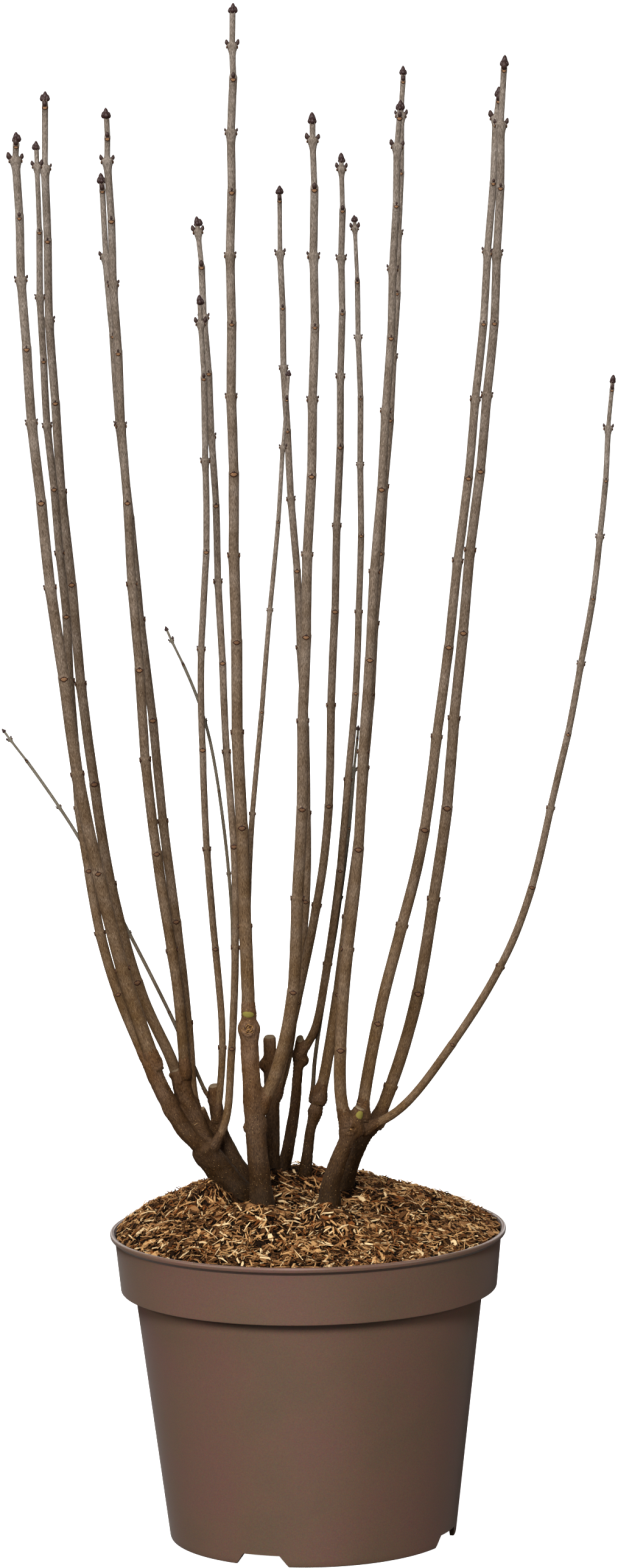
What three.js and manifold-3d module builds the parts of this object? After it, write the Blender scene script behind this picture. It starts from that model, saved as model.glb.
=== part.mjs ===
// A bare lilac bush in a round nursery pot, filled with potting mix and topped with wood chips.
// Millimetres, +Z up. The origin is on the pot's axis, on the plane that the pot stands on.
// +X is to the right and -Y to the front. Every limb is a solid of its own, 0.3 mm clear of the
// limb that carries it, as are the pot, its potting mix and its wood chips.

import * as THREE from 'three';
import { mergeVertices } from 'three/addons/utils/BufferGeometryUtils.js';
import Module from 'manifold-3d';

const wasm = await Module();
wasm.setup();

// ---------------------------------------------------------------------------
// Driving sizes
// ---------------------------------------------------------------------------

const GAP = 0.3;                 // clearance between touching pieces

const POT = {
  sectors: 40,
  height: 221,                   // top of the rolled bead
  beadRadius: 140.2,             // 280 mm across: a 10-litre pot
  beadHeight: 4,
  collarTopRadius: 136.8,
  collarFootRadius: 133.2,
  collarFoot: 175,               // underside of the collar
  collarStep: 2,                 // how far under the collar its corner starts
  collarRounding: 8.5,
  neckRadius: 122.6,             // body just under the collar
  footRadius: 101.6,
  footRounding: 1.2,
  footRing: 2.2,                 // width of the flat ring that it stands on
  beadRounding: 1.4,
  cornerSteps: 3,
  wall: 2,
  floorUnder: 8,                 // underside of the raised floor
  floorThickness: 2.5,
};

const NOTCH = {
  count: 4,
  first: -21,                    // degrees from the front, towards +X
  widthBelow: 41,
  widthAbove: 27,
  height: 8.3,
  reach: 15,                     // how far in from the wall the drain is open
  overrun: 1,                    // the cutter runs this far past the pot
};

const MULCH = {
  bottom: 186,
  edgeHeight: 221.5,             // where the chips meet the wall, at the sides
  edgeTilt: 0.03,                // mm higher for each mm to the back
  crown: 23.5,                   // rise from the wall to the middle
  crownTiltBack: 0.005,          // share of the crown that each mm to the back adds
  crownTiltLeft: 0.003,          // and each mm to the left
  fullness: 3.4,                 // how flat the top of the mound is
  lump: 1.3,
  lumpSpacing: 8.5,
  crossSpacing: 13.6,            // of the lumps that run from corner to corner
  lumpPhases: [1.7, 0.4, 2.9],
  lumpFade: 4,                   // how late the lumps fade towards the wall
  ringShares: [1, 0.93, 0.8, 0.62, 0.42, 0.2],
};

const LIMB = {
  stemSides: 8,
  shootSides: 6,
  straysAt: [0.03, 0.1, 0.25, 0.5, 0.75],   // shares of the rise where the bends are given
  footFlare: 1.16,                // how much wider a stem is where it enters the chips
  flareLength: 16,
  ringSpacing: 15,                // distance between the rings of an old stem
  fewestSteps: 4,
  elbowRings: [0, 12, 28],        // distances of the rings where a shoot turns up from its stem
  sunk: 6,                        // how deep a stem stands in the chips
};

const COLLAR = { spread: 7, ringsAt: [-7, -3, 3, 7] };   // a swelling on an old stem

const NODE = {                    // a pair of opposite buds, every pair a quarter turn on
  fullSizeDiameter: 5,            // a shoot with a thinner tip has smaller buds
  shoulder: 1.08,
  swelling: 1.22,
  waist: 0.95,
  shoulderBelow: 3,
  waistAbove: 2.8,
  budReach: 1.9,
  budRise: 1.9,
  kink: 0.5,
  longestStep: 72,                // the longest internode
  bareFoot: 26,                   // a shoot has no buds this near its foot
};

const TIP = {                     // the plump bud that ends a shoot
  length: 8.5,
  bellyAt: 0.42,
  bellyGrowth: 1.3,
};

// ---------------------------------------------------------------------------
// Limbs. foot and tip are [right, back, up]. strays are the sideways distances from the straight
// line between them, at the elbow, a tenth, a quarter, a half and three quarters of the rise.
// depthAtQuarter is how far back the limb lies at a quarter of the rise, where it isn't on the line.
// ---------------------------------------------------------------------------

// The old stems and boughs, cut back above where the shoots spring. A standing one has its foot
// in the chips, and on names what the others spring from or stand against. collars are the
// swellings: each its share of the length and what it adds to the diameter.
const STEMS = {
  left_stool: {
    foot: [-54, 8, 248], tip: [-75, 3, 282], diameters: [21.5, 17], strays: [0, 0, 1, 1, 0],
    standing: true,
  },
  left_outer_bough: {
    foot: [-70, 2, 277], tip: [-110, -2, 345], diameters: [12, 12], strays: [-2, -4, -7, -6, -4],
    on: ['left_stool'],
  },
  left_inner_bough: {
    foot: [-68, 6, 275], tip: [-89, 12, 334], diameters: [13, 13.4], strays: [0, 0, -1, -3, -3],
    on: ['left_stool', 'left_outer_bough'],
  },
  left_back_stem: {
    foot: [-45, 24, 251], tip: [-65, 22, 320], diameters: [13.5, 8.6], strays: [0, -1, -3, -5.5, -3.5],
    standing: true, on: ['left_stool', 'left_inner_bough'],
  },
  front_stem: {
    foot: [-32, -32, 243], tip: [-39, -30, 379], diameters: [16, 13], strays: [0, 0, -0.5, -1, -1],
    collars: [[0.9, 2]],
    standing: true,
  },
  back_left_stem: {
    foot: [-25, 46, 251], tip: [-25, 48, 350], diameters: [10.4, 9.2], strays: [0, 0.5, 1, 1, 0],
    collars: [[0.5, 0.8]],
    standing: true,
  },
  back_middle_stem: {
    foot: [-17, 66, 251], tip: [-5, 66, 347], diameters: [9.2, 6.4], strays: [0, 1, 2, 2.5, 1.5],
    collars: [[0.86, 1.4]],
    standing: true,
  },
  back_right_stem: {
    foot: [-2, 52, 248], tip: [8, 50, 315], diameters: [8.6, 6.2], strays: [0, 0, 0, 0, 2],
    collars: [[0.7, 3]],
    standing: true,
  },
  right_stem: {
    foot: [15, -32, 244], tip: [38, -26, 311], diameters: [14.4, 9], strays: [0, -1.5, -3.5, -3, -1],
    collars: [[0.78, 3.6]],
    standing: true,
  },
  right_back_stem: {
    foot: [28, 28, 245], tip: [50, 20, 296], diameters: [9.2, 9.6], strays: [0, -1, -2, -3, -2],
    standing: true,
  },
  dead_spur: {
    foot: [-62, 19, 283], tip: [-73, 10, 306], diameters: [6.5, 4], strays: [0, 0, -1, -2, -1],
    on: ['left_back_stem', 'left_inner_bough'],
  },
};

// The young shoots, from left to right. on names what each one springs from. pairs are the
// distances of its top two bud pairs from the tip, and top is where the first of them points, to
// the sides or the front. Down from there the internodes start at internode, and each is longer
// than the one above by a share stretch of that.
const SHOOTS = {
  low_twig_left: {
    foot: [-66, 24, 308], tip: [-213, 100, 569], diameters: [2.8, 1.9], strays: [-1, 1, 5, 9, 10],
    pairs: [10, 30], top: 'sides', internode: 40, stretch: 0.2,
    on: ['left_back_stem'],
  },
  shoot_01: {
    foot: [-105, -2, 338], tip: [-187, -60, 1000], diameters: [10.2, 5.4], strays: [-4, -12, -22, -23, -16],
    pairs: [10, 20], top: 'front', internode: 39, stretch: 0.11,
    on: ['left_outer_bough'],
  },
  shoot_02: {
    foot: [-110, 6, 338], tip: [-176, 40, 990], diameters: [7.6, 4.3], strays: [-7, -19, -27, -20, -15],
    pairs: [18, 64], top: 'sides', internode: 45, stretch: 0,
    on: ['left_outer_bough', 'shoot_01'],
  },
  shoot_03: {
    foot: [-91, 14, 330], tip: [-173, 110, 1023], diameters: [8.2, 5.4], strays: [-6, -22, -31, -28, -19],
    pairs: [12, 55], top: 'front', internode: 52, stretch: 0.07,
    on: ['left_inner_bough'],
  },
  shoot_04: {
    foot: [-85, 8, 330], tip: [-126, -20, 1014], diameters: [8, 5], strays: [0.5, 0, -8, -8.5, -5.5],
    pairs: [21, 37], top: 'front', internode: 41, stretch: 0.08,
    on: ['left_inner_bough', 'shoot_03'],
  },
  shoot_05: {
    foot: [-80, 18, 314], tip: [-133, 66, 966], diameters: [7.4, 5], strays: [1.5, 2, -1, -3, -4],
    depthAtQuarter: 36, pairs: [13, 59], top: 'front', internode: 56, stretch: 0.1,
    on: ['left_inner_bough', 'shoot_03', 'shoot_04'],
  },
  low_twig_middle: {
    foot: [-49, 1, 392], tip: [-93, 30, 648], diameters: [2.5, 1.8], strays: [1, 4, 10, 15, 15],
    pairs: [11, 30], top: 'sides', internode: 42, stretch: 0.2,
    on: ['shoot_06'],
  },
  shoot_06: {
    foot: [-66, 0, 279], tip: [-65, 50, 935], diameters: [5.6, 4.6], strays: [9, 13.5, 19, 12.5, 8],
    depthAtQuarter: 0, pairs: [11, 36], top: 'sides', internode: 35, stretch: 0.13,
    on: ['left_stool', 'left_inner_bough', 'left_back_stem'],
  },
  shoot_07: {
    foot: [-64, 20, 296], tip: [-63, -25, 884], diameters: [5.2, 4.4], strays: [3, 6, 0, -5, 1.5],
    depthAtQuarter: 12, pairs: [20, 58], top: 'sides', internode: 58, stretch: 0.1,
    on: ['left_back_stem', 'shoot_06'],
  },
  shoot_08: {
    foot: [-39, -30, 376], tip: [-36, -55, 1085], diameters: [9.4, 5.2], strays: [0, -1, -4, -5, -4.5],
    pairs: [30, 52], top: 'sides', internode: 37, stretch: 0.09,
    on: ['front_stem'],
  },
  shoot_09: {
    foot: [-22, 51, 306], tip: [-8, 110, 953], diameters: [7, 4.1], strays: [7, 14, 22, 17, 6],
    depthAtQuarter: 78, pairs: [11, 48], top: 'front', internode: 39, stretch: 0.08,
    on: ['back_left_stem'],
  },
  shoot_10: {
    foot: [-39, -26, 376], tip: [-3, -10, 830], diameters: [4.4, 2.9], strays: [-1, -4, -6, -4, -1],
    depthAtQuarter: -16, pairs: [21, 54], top: 'front', internode: 52, stretch: 0.19,
    on: ['front_stem', 'shoot_08'],
  },
  shoot_11: {
    foot: [-33, -29, 312], tip: [17, -90, 1010], diameters: [9.2, 5.2], strays: [9, 18, 19, 14, 10],
    pairs: [19, 52], top: 'sides', internode: 46, stretch: 0.05,
    on: ['front_stem'],
  },
  shoot_12: {
    foot: [-22, 47, 306], tip: [37, 30, 978], diameters: [6.8, 4.4], strays: [3, 10, 22.5, 18, 11],
    depthAtQuarter: 38, pairs: [11, 40], top: 'sides', internode: 33, stretch: 0.17,
    on: ['back_left_stem', 'shoot_09'],
  },
  shoot_13: {
    foot: [-5, 65, 332], tip: [45, 10, 936], diameters: [6.2, 3.5], strays: [10, 16, 21, 22.5, 14],
    depthAtQuarter: 45, pairs: [10, 47], top: 'sides', internode: 39, stretch: 0.1,
    on: ['back_middle_stem'],
  },
  low_twig_right: {
    foot: [4, 55, 303], tip: [42, 74, 570], diameters: [3.1, 2.4], strays: [0, -1, 0, 3, 2.5],
    depthAtQuarter: 74, pairs: [10, 32], top: 'front', internode: 42, stretch: 0.2,
    on: ['back_right_stem'],
  },
  shoot_14: {
    foot: [9, 51, 302], tip: [82, 136, 1036], diameters: [8.2, 4.6], strays: [3, 7, 13, 12, 9.5],
    pairs: [12, 36], top: 'front', internode: 41, stretch: 0.03,
    on: ['back_right_stem'],
  },
  shoot_15: {
    foot: [29, -28, 299], tip: [76, -70, 1017], diameters: [8.8, 4.7], strays: [-6, -8, -3, -1, 2],
    pairs: [12, 32], top: 'front', internode: 40, stretch: 0.09,
    on: ['right_stem'],
  },
  shoot_16: {
    foot: [49, 19, 291], tip: [149, -20, 1045], diameters: [9.2, 5.2], strays: [7, 16.5, 23, 19, 15.5],
    depthAtQuarter: 4, pairs: [10, 48], top: 'front', internode: 43, stretch: 0.06,
    on: ['right_back_stem', 'right_stem'],
  },
  shoot_17: {
    foot: [39, -23, 303], tip: [147, 35, 1022], diameters: [8.8, 4.7], strays: [0, 3, 17, 17, 12],
    depthAtQuarter: 18, pairs: [10, 22], top: 'front', internode: 45, stretch: 0.06,
    on: ['right_stem', 'shoot_15', 'shoot_16'],
  },
  shoot_18: {
    foot: [40, -23, 294], tip: [219.5, -60, 826], diameters: [6.4, 3.7], strays: [21, 39, 61, 53, 33],
    pairs: [10, 37], top: 'front', internode: 36, stretch: 0.1,
    on: ['right_stem', 'shoot_16', 'shoot_17'],
  },
};

// ---------------------------------------------------------------------------
// Helpers
// ---------------------------------------------------------------------------

const WELD = 1e-3;               // corners nearer than this are one

/** Merges shared corners and drops the flat triangles that leaves. */
function weld(geometry) {
  geometry.deleteAttribute('normal');
  geometry.deleteAttribute('uv');
  const merged = mergeVertices(geometry, WELD);
  const old = merged.index.array;
  const kept = [];
  for (let i = 0; i < old.length; i += 3) {
    const [a, b, c] = [old[i], old[i + 1], old[i + 2]];
    if (a !== b && b !== c && c !== a) kept.push(a, b, c);
  }
  merged.setIndex(kept);
  return merged;
}

function toSolid(geometry) {
  const welded = weld(geometry);
  return new wasm.Manifold(new wasm.Mesh({
    numProp: 3,
    vertProperties: Float32Array.from(welded.attributes.position.array),
    triVerts: Uint32Array.from(welded.index.array),
  }));
}

function toGeometry(solid) {
  const mesh = solid.getMesh();
  const geometry = new THREE.BufferGeometry();
  geometry.setAttribute('position', new THREE.BufferAttribute(mesh.vertProperties, 3));
  geometry.setIndex(Array.from(mesh.triVerts));
  geometry.computeVertexNormals();
  return geometry;
}

/** The largest body of a solid: a cut can leave a scrap on its far side. */
function largest(solid) {
  return solid.decompose().sort((a, b) => b.volume() - a.volume())[0];
}

/** A profile of [radius, height] points turned round the Z axis. */
function turned(profile, sectors) {
  const points = profile.map(([radius, height]) => new THREE.Vector2(radius, height));
  const geometry = new THREE.LatheGeometry(points, sectors);
  geometry.rotateX(Math.PI / 2);
  return toSolid(geometry);
}

/** Closes a stack of rings, each a list of points, with a point at either end. */
function loft(rings, start, end) {
  const sides = rings[0].length;
  const corners = [...rings.flat(), start, end];
  const startIndex = rings.length * sides;
  const faces = [];
  for (let k = 0; k < sides; k++) {
    const next = (k + 1) % sides;
    faces.push(startIndex, next, k);
    for (let row = 0; row < rings.length - 1; row++) {
      const low = row * sides;
      const high = low + sides;
      faces.push(low + k, low + next, high + next);
      faces.push(low + k, high + next, high + k);
    }
    const top = (rings.length - 1) * sides;
    faces.push(startIndex + 1, top + k, top + next);
  }
  const geometry = new THREE.BufferGeometry().setFromPoints(corners);
  geometry.setIndex(faces);
  return geometry;
}

// ---------------------------------------------------------------------------
// Limb shapes
// ---------------------------------------------------------------------------

const DEPTH_SHARE = LIMB.straysAt[2];

function limbPath(limb) {
  const foot = new THREE.Vector3(...limb.foot);
  const tip = new THREE.Vector3(...limb.tip);
  const bends = LIMB.straysAt.map((share, i) => {
    const point = foot.clone().lerp(tip, share);
    point.x += limb.strays[i];
    if (limb.depthAtQuarter !== undefined) {
      const early = share <= DEPTH_SHARE;
      const across = early ? share / DEPTH_SHARE : (share - DEPTH_SHARE) / (1 - DEPTH_SHARE);
      const from = early ? foot.y : limb.depthAtQuarter;
      const to = early ? limb.depthAtQuarter : tip.y;
      point.y = THREE.MathUtils.lerp(from, to, across);
    }
    return point;
  });
  return new THREE.CatmullRomCurve3([foot, ...bends, tip], false, 'centripetal');
}

/** Place, direction and the two cross directions of a path at a distance from its foot. */
function frameAt(path, distance, length) {
  const share = THREE.MathUtils.clamp(distance / length, 0, 1);
  const along = path.getTangentAt(share);
  const back = new THREE.Vector3(0, 1, 0).addScaledVector(along, -along.y).normalize();
  const right = back.clone().cross(along);
  return { centre: path.getPointAt(share), along, back, right };
}

/**
 * One ring of a limb, its first corner turned by some quarter turns from the right. A pair of
 * buds stands out by reach, and up by rise, at that corner and at the one opposite it.
 */
function ring(frame, radius, sides, { quarter = 0, buds = 0, rise = 0 } = {}) {
  const points = [];
  for (let k = 0; k < sides; k++) {
    const angle = (k / sides) * 2 * Math.PI + quarter * (Math.PI / 2);
    const budCorner = buds > 0 && k % (sides / 2) === 0;
    const reach = radius + (budCorner ? buds : 0);
    const point = frame.centre.clone();
    point.addScaledVector(frame.right, reach * Math.cos(angle));
    point.addScaledVector(frame.back, reach * Math.sin(angle));
    point.addScaledVector(frame.along, budCorner ? rise : 0);
    points.push(point);
  }
  return points;
}

/** Diameter of an old stem: a taper, a flared foot where it stands in the chips, and collars. */
function stemDiameter(stem, distance, length) {
  const [footDiameter, tipDiameter] = stem.diameters;
  let diameter = THREE.MathUtils.lerp(footDiameter, tipDiameter, distance / length);
  for (const [share, growth] of stem.collars ?? []) {
    const off = (distance - share * length) / COLLAR.spread;
    diameter += growth * Math.exp(-off * off);
  }
  if (stem.standing) {
    const flare = Math.max(0, 1 - distance / LIMB.flareLength);
    diameter *= 1 + (LIMB.footFlare - 1) * flare;
  }
  return diameter;
}

/** Distances of an old stem's rings: evenly spaced, and close together round its collars. */
function stemDistances(stem, length) {
  const steps = Math.max(LIMB.fewestSteps, Math.round(length / LIMB.ringSpacing));
  const distances = new Set();
  for (let i = 0; i <= steps; i++) distances.add((length * i) / steps);
  for (const [share] of stem.collars ?? []) {
    for (const offset of COLLAR.ringsAt) {
      distances.add(THREE.MathUtils.clamp(share * length + offset, 0, length));
    }
  }
  return [...distances].sort((a, b) => a - b);
}

/** An old stem, cut flat at its tip. grow makes it that much larger all round. */
function stemSolid(stem, grow = 0) {
  const path = limbPath(stem);
  const length = path.getLength();
  const rings = stemDistances(stem, length).map((distance) => {
    const radius = stemDiameter(stem, distance, length) / 2 + grow;
    return ring(frameAt(path, distance, length), radius, LIMB.stemSides);
  });
  const foot = frameAt(path, 0, length);
  const tip = frameAt(path, length, length);
  const start = foot.centre.addScaledVector(foot.along, -grow);
  const end = tip.centre.addScaledVector(tip.along, grow);
  for (const point of rings[0]) point.addScaledVector(foot.along, -grow);
  for (const point of rings.at(-1)) point.addScaledVector(tip.along, grow);
  if (stem.standing) {
    // below the surface of the chips it goes straight down to a level cut
    const lowest = Math.min(...rings[0].map((point) => point.z));
    start.z = lowest - LIMB.sunk - grow;
    rings.unshift(rings[0].map((point) => point.clone().setZ(start.z)));
  }
  return toSolid(loft(rings, start, end));
}

/** A shoot's bud pairs from its foot up: how far along it each one is, and where it points. */
function budPairs(shoot, length) {
  const [first, second] = shoot.pairs;
  const fromTip = [first];
  let step = shoot.internode;
  for (let at = second; at < length - NODE.bareFoot; at += step) {
    if (at > second) step += shoot.internode * shoot.stretch;
    step = Math.min(step, NODE.longestStep);
    fromTip.push(at);
  }
  const topTurn = shoot.top === 'front' ? 1 : 0;
  return fromTip.map((at, i) => ({ distance: length - at, quarter: (i + topTurn) % 2 })).reverse();
}

/** A young shoot: it tapers, swells at each bud pair and ends in a plump bud. */
function shootSolid(shoot, grow = 0) {
  const path = limbPath(shoot);
  const length = path.getLength();
  const [footDiameter, tipDiameter] = shoot.diameters;
  const slim = Math.min(1, tipDiameter / NODE.fullSizeDiameter);
  const pairs = budPairs(shoot, length);
  const rings = [];

  const addRing = (distance, growth, options) => {
    const diameter = THREE.MathUtils.lerp(footDiameter, tipDiameter, distance / length);
    const frame = frameAt(path, distance, length);
    frame.centre.addScaledVector(frame.right, options?.kink ?? 0);
    rings.push(ring(frame, (diameter / 2) * growth + grow, LIMB.shootSides, options));
  };

  for (const distance of LIMB.elbowRings) {
    if (distance < pairs[0].distance - 2 * NODE.shoulderBelow) addRing(distance, 1);
  }
  for (const { distance, quarter } of pairs) {
    const kink = (quarter ? 1 : -1) * NODE.kink * slim;
    addRing(distance - NODE.shoulderBelow * slim, NODE.shoulder, { quarter });
    addRing(distance, NODE.swelling, {
      quarter, kink, buds: NODE.budReach * slim, rise: NODE.budRise * slim,
    });
    addRing(distance + NODE.waistAbove * slim, NODE.waist, { quarter });
  }
  addRing(length - TIP.length * slim * (1 - TIP.bellyAt), TIP.bellyGrowth);
  return toSolid(loft(rings, path.getPointAt(0), path.getPointAt(1)));
}

// ---------------------------------------------------------------------------
// Pot, potting mix and wood chips
// ---------------------------------------------------------------------------

/** Radius of the pot's body at a height, on the outside. */
function bodyRadius(height) {
  const share = height / (POT.collarFoot - POT.collarStep);
  return THREE.MathUtils.lerp(POT.footRadius, POT.neckRadius, share);
}

/** Profile points that round an outer corner: up round a lower one, or on over an upper one. */
function roundedCorner(radius, height, rounding, isUpper) {
  const points = [];
  for (let i = 0; i <= POT.cornerSteps; i++) {
    const angle = (i / POT.cornerSteps) * (Math.PI / 2);
    const along = rounding * (1 - Math.sin(angle));
    const across = rounding * (1 - Math.cos(angle));
    points.push(isUpper ? [radius - across, height - along] : [radius - along, height + across]);
  }
  return points;
}

/** The inside of the pot, from the floor's middle up to the rim, a distance clear of it. */
function insideProfile(clear) {
  const floor = POT.floorUnder + POT.floorThickness;
  const inset = POT.wall + clear;
  const collarFloor = POT.collarFoot + POT.wall;
  return [
    [0, floor + clear],
    [bodyRadius(floor) - inset, floor + clear],
    [POT.neckRadius - inset, collarFloor - POT.wall / 2],
    [POT.collarFootRadius - inset - POT.collarRounding / 2, collarFloor + clear],
    [POT.collarFootRadius - inset, collarFloor + POT.collarRounding],
    [POT.collarTopRadius - inset, POT.height - POT.beadHeight],
  ];
}

function potSolid() {
  const beadFoot = POT.height - POT.beadHeight;
  const flatEnd = POT.footRadius - POT.footRounding;
  const outside = [
    [0, POT.floorUnder],
    [flatEnd - POT.footRing, POT.floorUnder],
    [flatEnd - POT.footRing, 0],
    [flatEnd, 0],
    [bodyRadius(POT.footRounding), POT.footRounding],
    [POT.neckRadius, POT.collarFoot - POT.collarStep],
    ...roundedCorner(POT.collarFootRadius, POT.collarFoot, POT.collarRounding, false),
    [POT.collarTopRadius, beadFoot],
    [POT.beadRadius, beadFoot + POT.beadRounding / 2],
    ...roundedCorner(POT.beadRadius, POT.height, POT.beadRounding, true),
    [POT.collarTopRadius - POT.wall / 2, POT.height],
  ];
  const inside = insideProfile(0).reverse();
  let pot = turned([...outside, ...inside], POT.sectors);
  for (let i = 0; i < NOTCH.count; i++) {
    const turn = THREE.MathUtils.degToRad(NOTCH.first + (i * 360) / NOTCH.count);
    pot = pot.subtract(notchSolid(turn));
  }
  return pot;
}

/** One drain: a trapezium cut through the foot ring and the edge of the floor. */
function notchSolid(turn) {
  const below = NOTCH.widthBelow / 2;
  const above = NOTCH.widthAbove / 2;
  const outline = new THREE.Shape();
  outline.moveTo(-below, -NOTCH.overrun);
  outline.lineTo(below, -NOTCH.overrun);
  outline.lineTo(above, NOTCH.height);
  outline.lineTo(-above, NOTCH.height);
  outline.closePath();
  const depth = NOTCH.reach + 2 * NOTCH.overrun;
  const geometry = new THREE.ExtrudeGeometry(outline, { depth, bevelEnabled: false });
  geometry.rotateX(Math.PI / 2);
  geometry.translate(0, depth - NOTCH.overrun - POT.footRadius, 0);
  geometry.rotateZ(turn);
  return toSolid(geometry);
}

/** Radius inside the collar at a height, the gap clear of its wall. */
function collarRadius(height) {
  const [[footRadius, foot], [topRadius, top]] = insideProfile(GAP).slice(-2);
  return THREE.MathUtils.lerp(footRadius, topRadius, (height - foot) / (top - foot));
}

function pottingMixSolid() {
  const top = MULCH.bottom - GAP;
  const profile = [...insideProfile(GAP).slice(0, -1), [collarRadius(top), top], [0, top]];
  return turned(profile, POT.sectors);
}

function mulchHeight(x, y, edgeRadius) {
  const outward = Math.min(1, Math.hypot(x, y) / edgeRadius);
  const mound = 1 - outward ** MULCH.fullness;
  const [sidePhase, backPhase, crossPhase] = MULCH.lumpPhases;
  const wave = Math.sin(x / MULCH.lumpSpacing + sidePhase) * Math.sin(y / MULCH.lumpSpacing + backPhase)
    + Math.sin((x + y) / MULCH.crossSpacing + crossPhase);
  const lumps = MULCH.lump * wave * (1 - outward ** MULCH.lumpFade);
  const crown = MULCH.crown * (1 + MULCH.crownTiltBack * y - MULCH.crownTiltLeft * x);
  return MULCH.edgeHeight + MULCH.edgeTilt * y + crown * mound + lumps;
}

/** The layer of wood chips: flat below, mounded above, with a socket for every stem. */
function mulchSolid(stems) {
  const edgeRadius = POT.collarTopRadius - POT.wall - GAP;
  const circle = (radius, heightAt) => {
    const points = [];
    for (let k = 0; k < POT.sectors; k++) {
      const angle = (k / POT.sectors) * 2 * Math.PI;
      const x = radius * Math.cos(angle);
      const y = radius * Math.sin(angle);
      points.push(new THREE.Vector3(x, y, heightAt(x, y)));
    }
    return points;
  };
  const surface = (x, y) => mulchHeight(x, y, edgeRadius);
  const rings = [circle(collarRadius(MULCH.bottom), () => MULCH.bottom)];
  for (const share of MULCH.ringShares) rings.push(circle(edgeRadius * share, surface));
  const start = new THREE.Vector3(0, 0, MULCH.bottom);
  const end = new THREE.Vector3(0, 0, surface(0, 0));
  let mulch = toSolid(loft(rings, start, end));
  for (const stem of stems) mulch = mulch.subtract(stemSolid(stem, GAP));
  return largest(mulch);
}

// ---------------------------------------------------------------------------
// Assembly
// ---------------------------------------------------------------------------

const MATERIALS = {
  pot: { color: 0x75604f, roughness: 0.5, metalness: 0 },
  mix: { color: 0x3a2c22, roughness: 1, metalness: 0 },
  mulch: { color: 0x7c5b3c, roughness: 0.95, metalness: 0 },
  oldBark: { color: 0x6a533c, roughness: 0.9, metalness: 0 },
  youngBark: { color: 0x8a7763, roughness: 0.8, metalness: 0 },
  twigBark: { color: 0x8d8672, roughness: 0.8, metalness: 0 },
};

const bush = new THREE.Group();

function addPiece(name, solid, material) {
  const mesh = new THREE.Mesh(toGeometry(solid), new THREE.MeshStandardMaterial(material));
  mesh.name = name;
  bush.add(mesh);
}

/** Cuts a limb back to 0.3 mm from the limbs it springs from or stands against. */
function clearOf(solid, names) {
  let cut = solid;
  for (const name of names) {
    const neighbour = name in STEMS ? stemSolid(STEMS[name], GAP) : shootSolid(SHOOTS[name], GAP);
    cut = cut.subtract(neighbour);
  }
  return largest(cut);
}

addPiece('pot', potSolid(), MATERIALS.pot);
addPiece('potting_mix', pottingMixSolid(), MATERIALS.mix);

const standing = Object.values(STEMS).filter((stem) => stem.standing);
addPiece('wood_chips', mulchSolid(standing), MATERIALS.mulch);

for (const [name, stem] of Object.entries(STEMS)) {
  addPiece(name, clearOf(stemSolid(stem), stem.on ?? []), MATERIALS.oldBark);
}
for (const [name, shoot] of Object.entries(SHOOTS)) {
  const material = name.startsWith('low_twig') ? MATERIALS.twigBark : MATERIALS.youngBark;
  addPiece(name, clearOf(shootSolid(shoot), shoot.on), material);
}

export default bush;
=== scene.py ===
# %% [markdown]
# # A bare lilac bush in a nursery pot
#
# In winter a young lilac is a stool of old stems, cut back low down, from which last summer's
# shoots stand up like whips. Every lesson here is about one real thing: the moulded pot, the
# wood chips on top of it, the old bark, the young shoots, and the buds that sit in pairs. The
# CAD model gives the places and the sizes, and this script gives each piece its surface.
#
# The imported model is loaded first, because nothing may move away from it. Its box is kept, to
# compare with the box of the finished bush.

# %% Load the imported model
from collections import namedtuple

import bpy
import numpy as np
from mathutils import Matrix, Vector


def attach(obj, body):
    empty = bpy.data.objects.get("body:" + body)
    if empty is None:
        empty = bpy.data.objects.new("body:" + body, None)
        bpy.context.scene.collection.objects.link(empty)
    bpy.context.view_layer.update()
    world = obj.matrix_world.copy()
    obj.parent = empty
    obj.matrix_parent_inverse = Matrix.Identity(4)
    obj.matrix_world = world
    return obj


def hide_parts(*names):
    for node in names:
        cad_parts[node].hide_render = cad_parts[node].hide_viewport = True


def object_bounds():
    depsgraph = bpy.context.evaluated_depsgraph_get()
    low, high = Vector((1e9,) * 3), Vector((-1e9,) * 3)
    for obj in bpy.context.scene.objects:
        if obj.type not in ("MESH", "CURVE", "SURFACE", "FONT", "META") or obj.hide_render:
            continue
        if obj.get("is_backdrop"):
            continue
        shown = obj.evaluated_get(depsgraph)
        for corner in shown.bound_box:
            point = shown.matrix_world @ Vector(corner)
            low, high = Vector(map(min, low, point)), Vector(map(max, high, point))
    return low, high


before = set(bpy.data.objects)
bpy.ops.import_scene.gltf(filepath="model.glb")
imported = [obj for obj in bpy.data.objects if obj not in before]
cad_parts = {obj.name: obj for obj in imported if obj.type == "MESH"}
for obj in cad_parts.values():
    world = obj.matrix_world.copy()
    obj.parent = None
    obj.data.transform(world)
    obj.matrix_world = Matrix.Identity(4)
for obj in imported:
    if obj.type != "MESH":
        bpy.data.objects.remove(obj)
cad_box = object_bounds()
MM = 0.001

print("nodes in the packed model:", len(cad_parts))
print("its size in mm:", [round((high - low) / MM) for low, high in zip(*cad_box)])

# %% [markdown]
# ## Two tools for every finish
#
# Colours are written the way a picker on a screen shows them, as sRGB hex. Blender's shaders
# count light, so one function turns each value linear. A finish is a chain of shader nodes, and
# one function adds a node, sets it and links it, so that each material below reads as a list.

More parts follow.
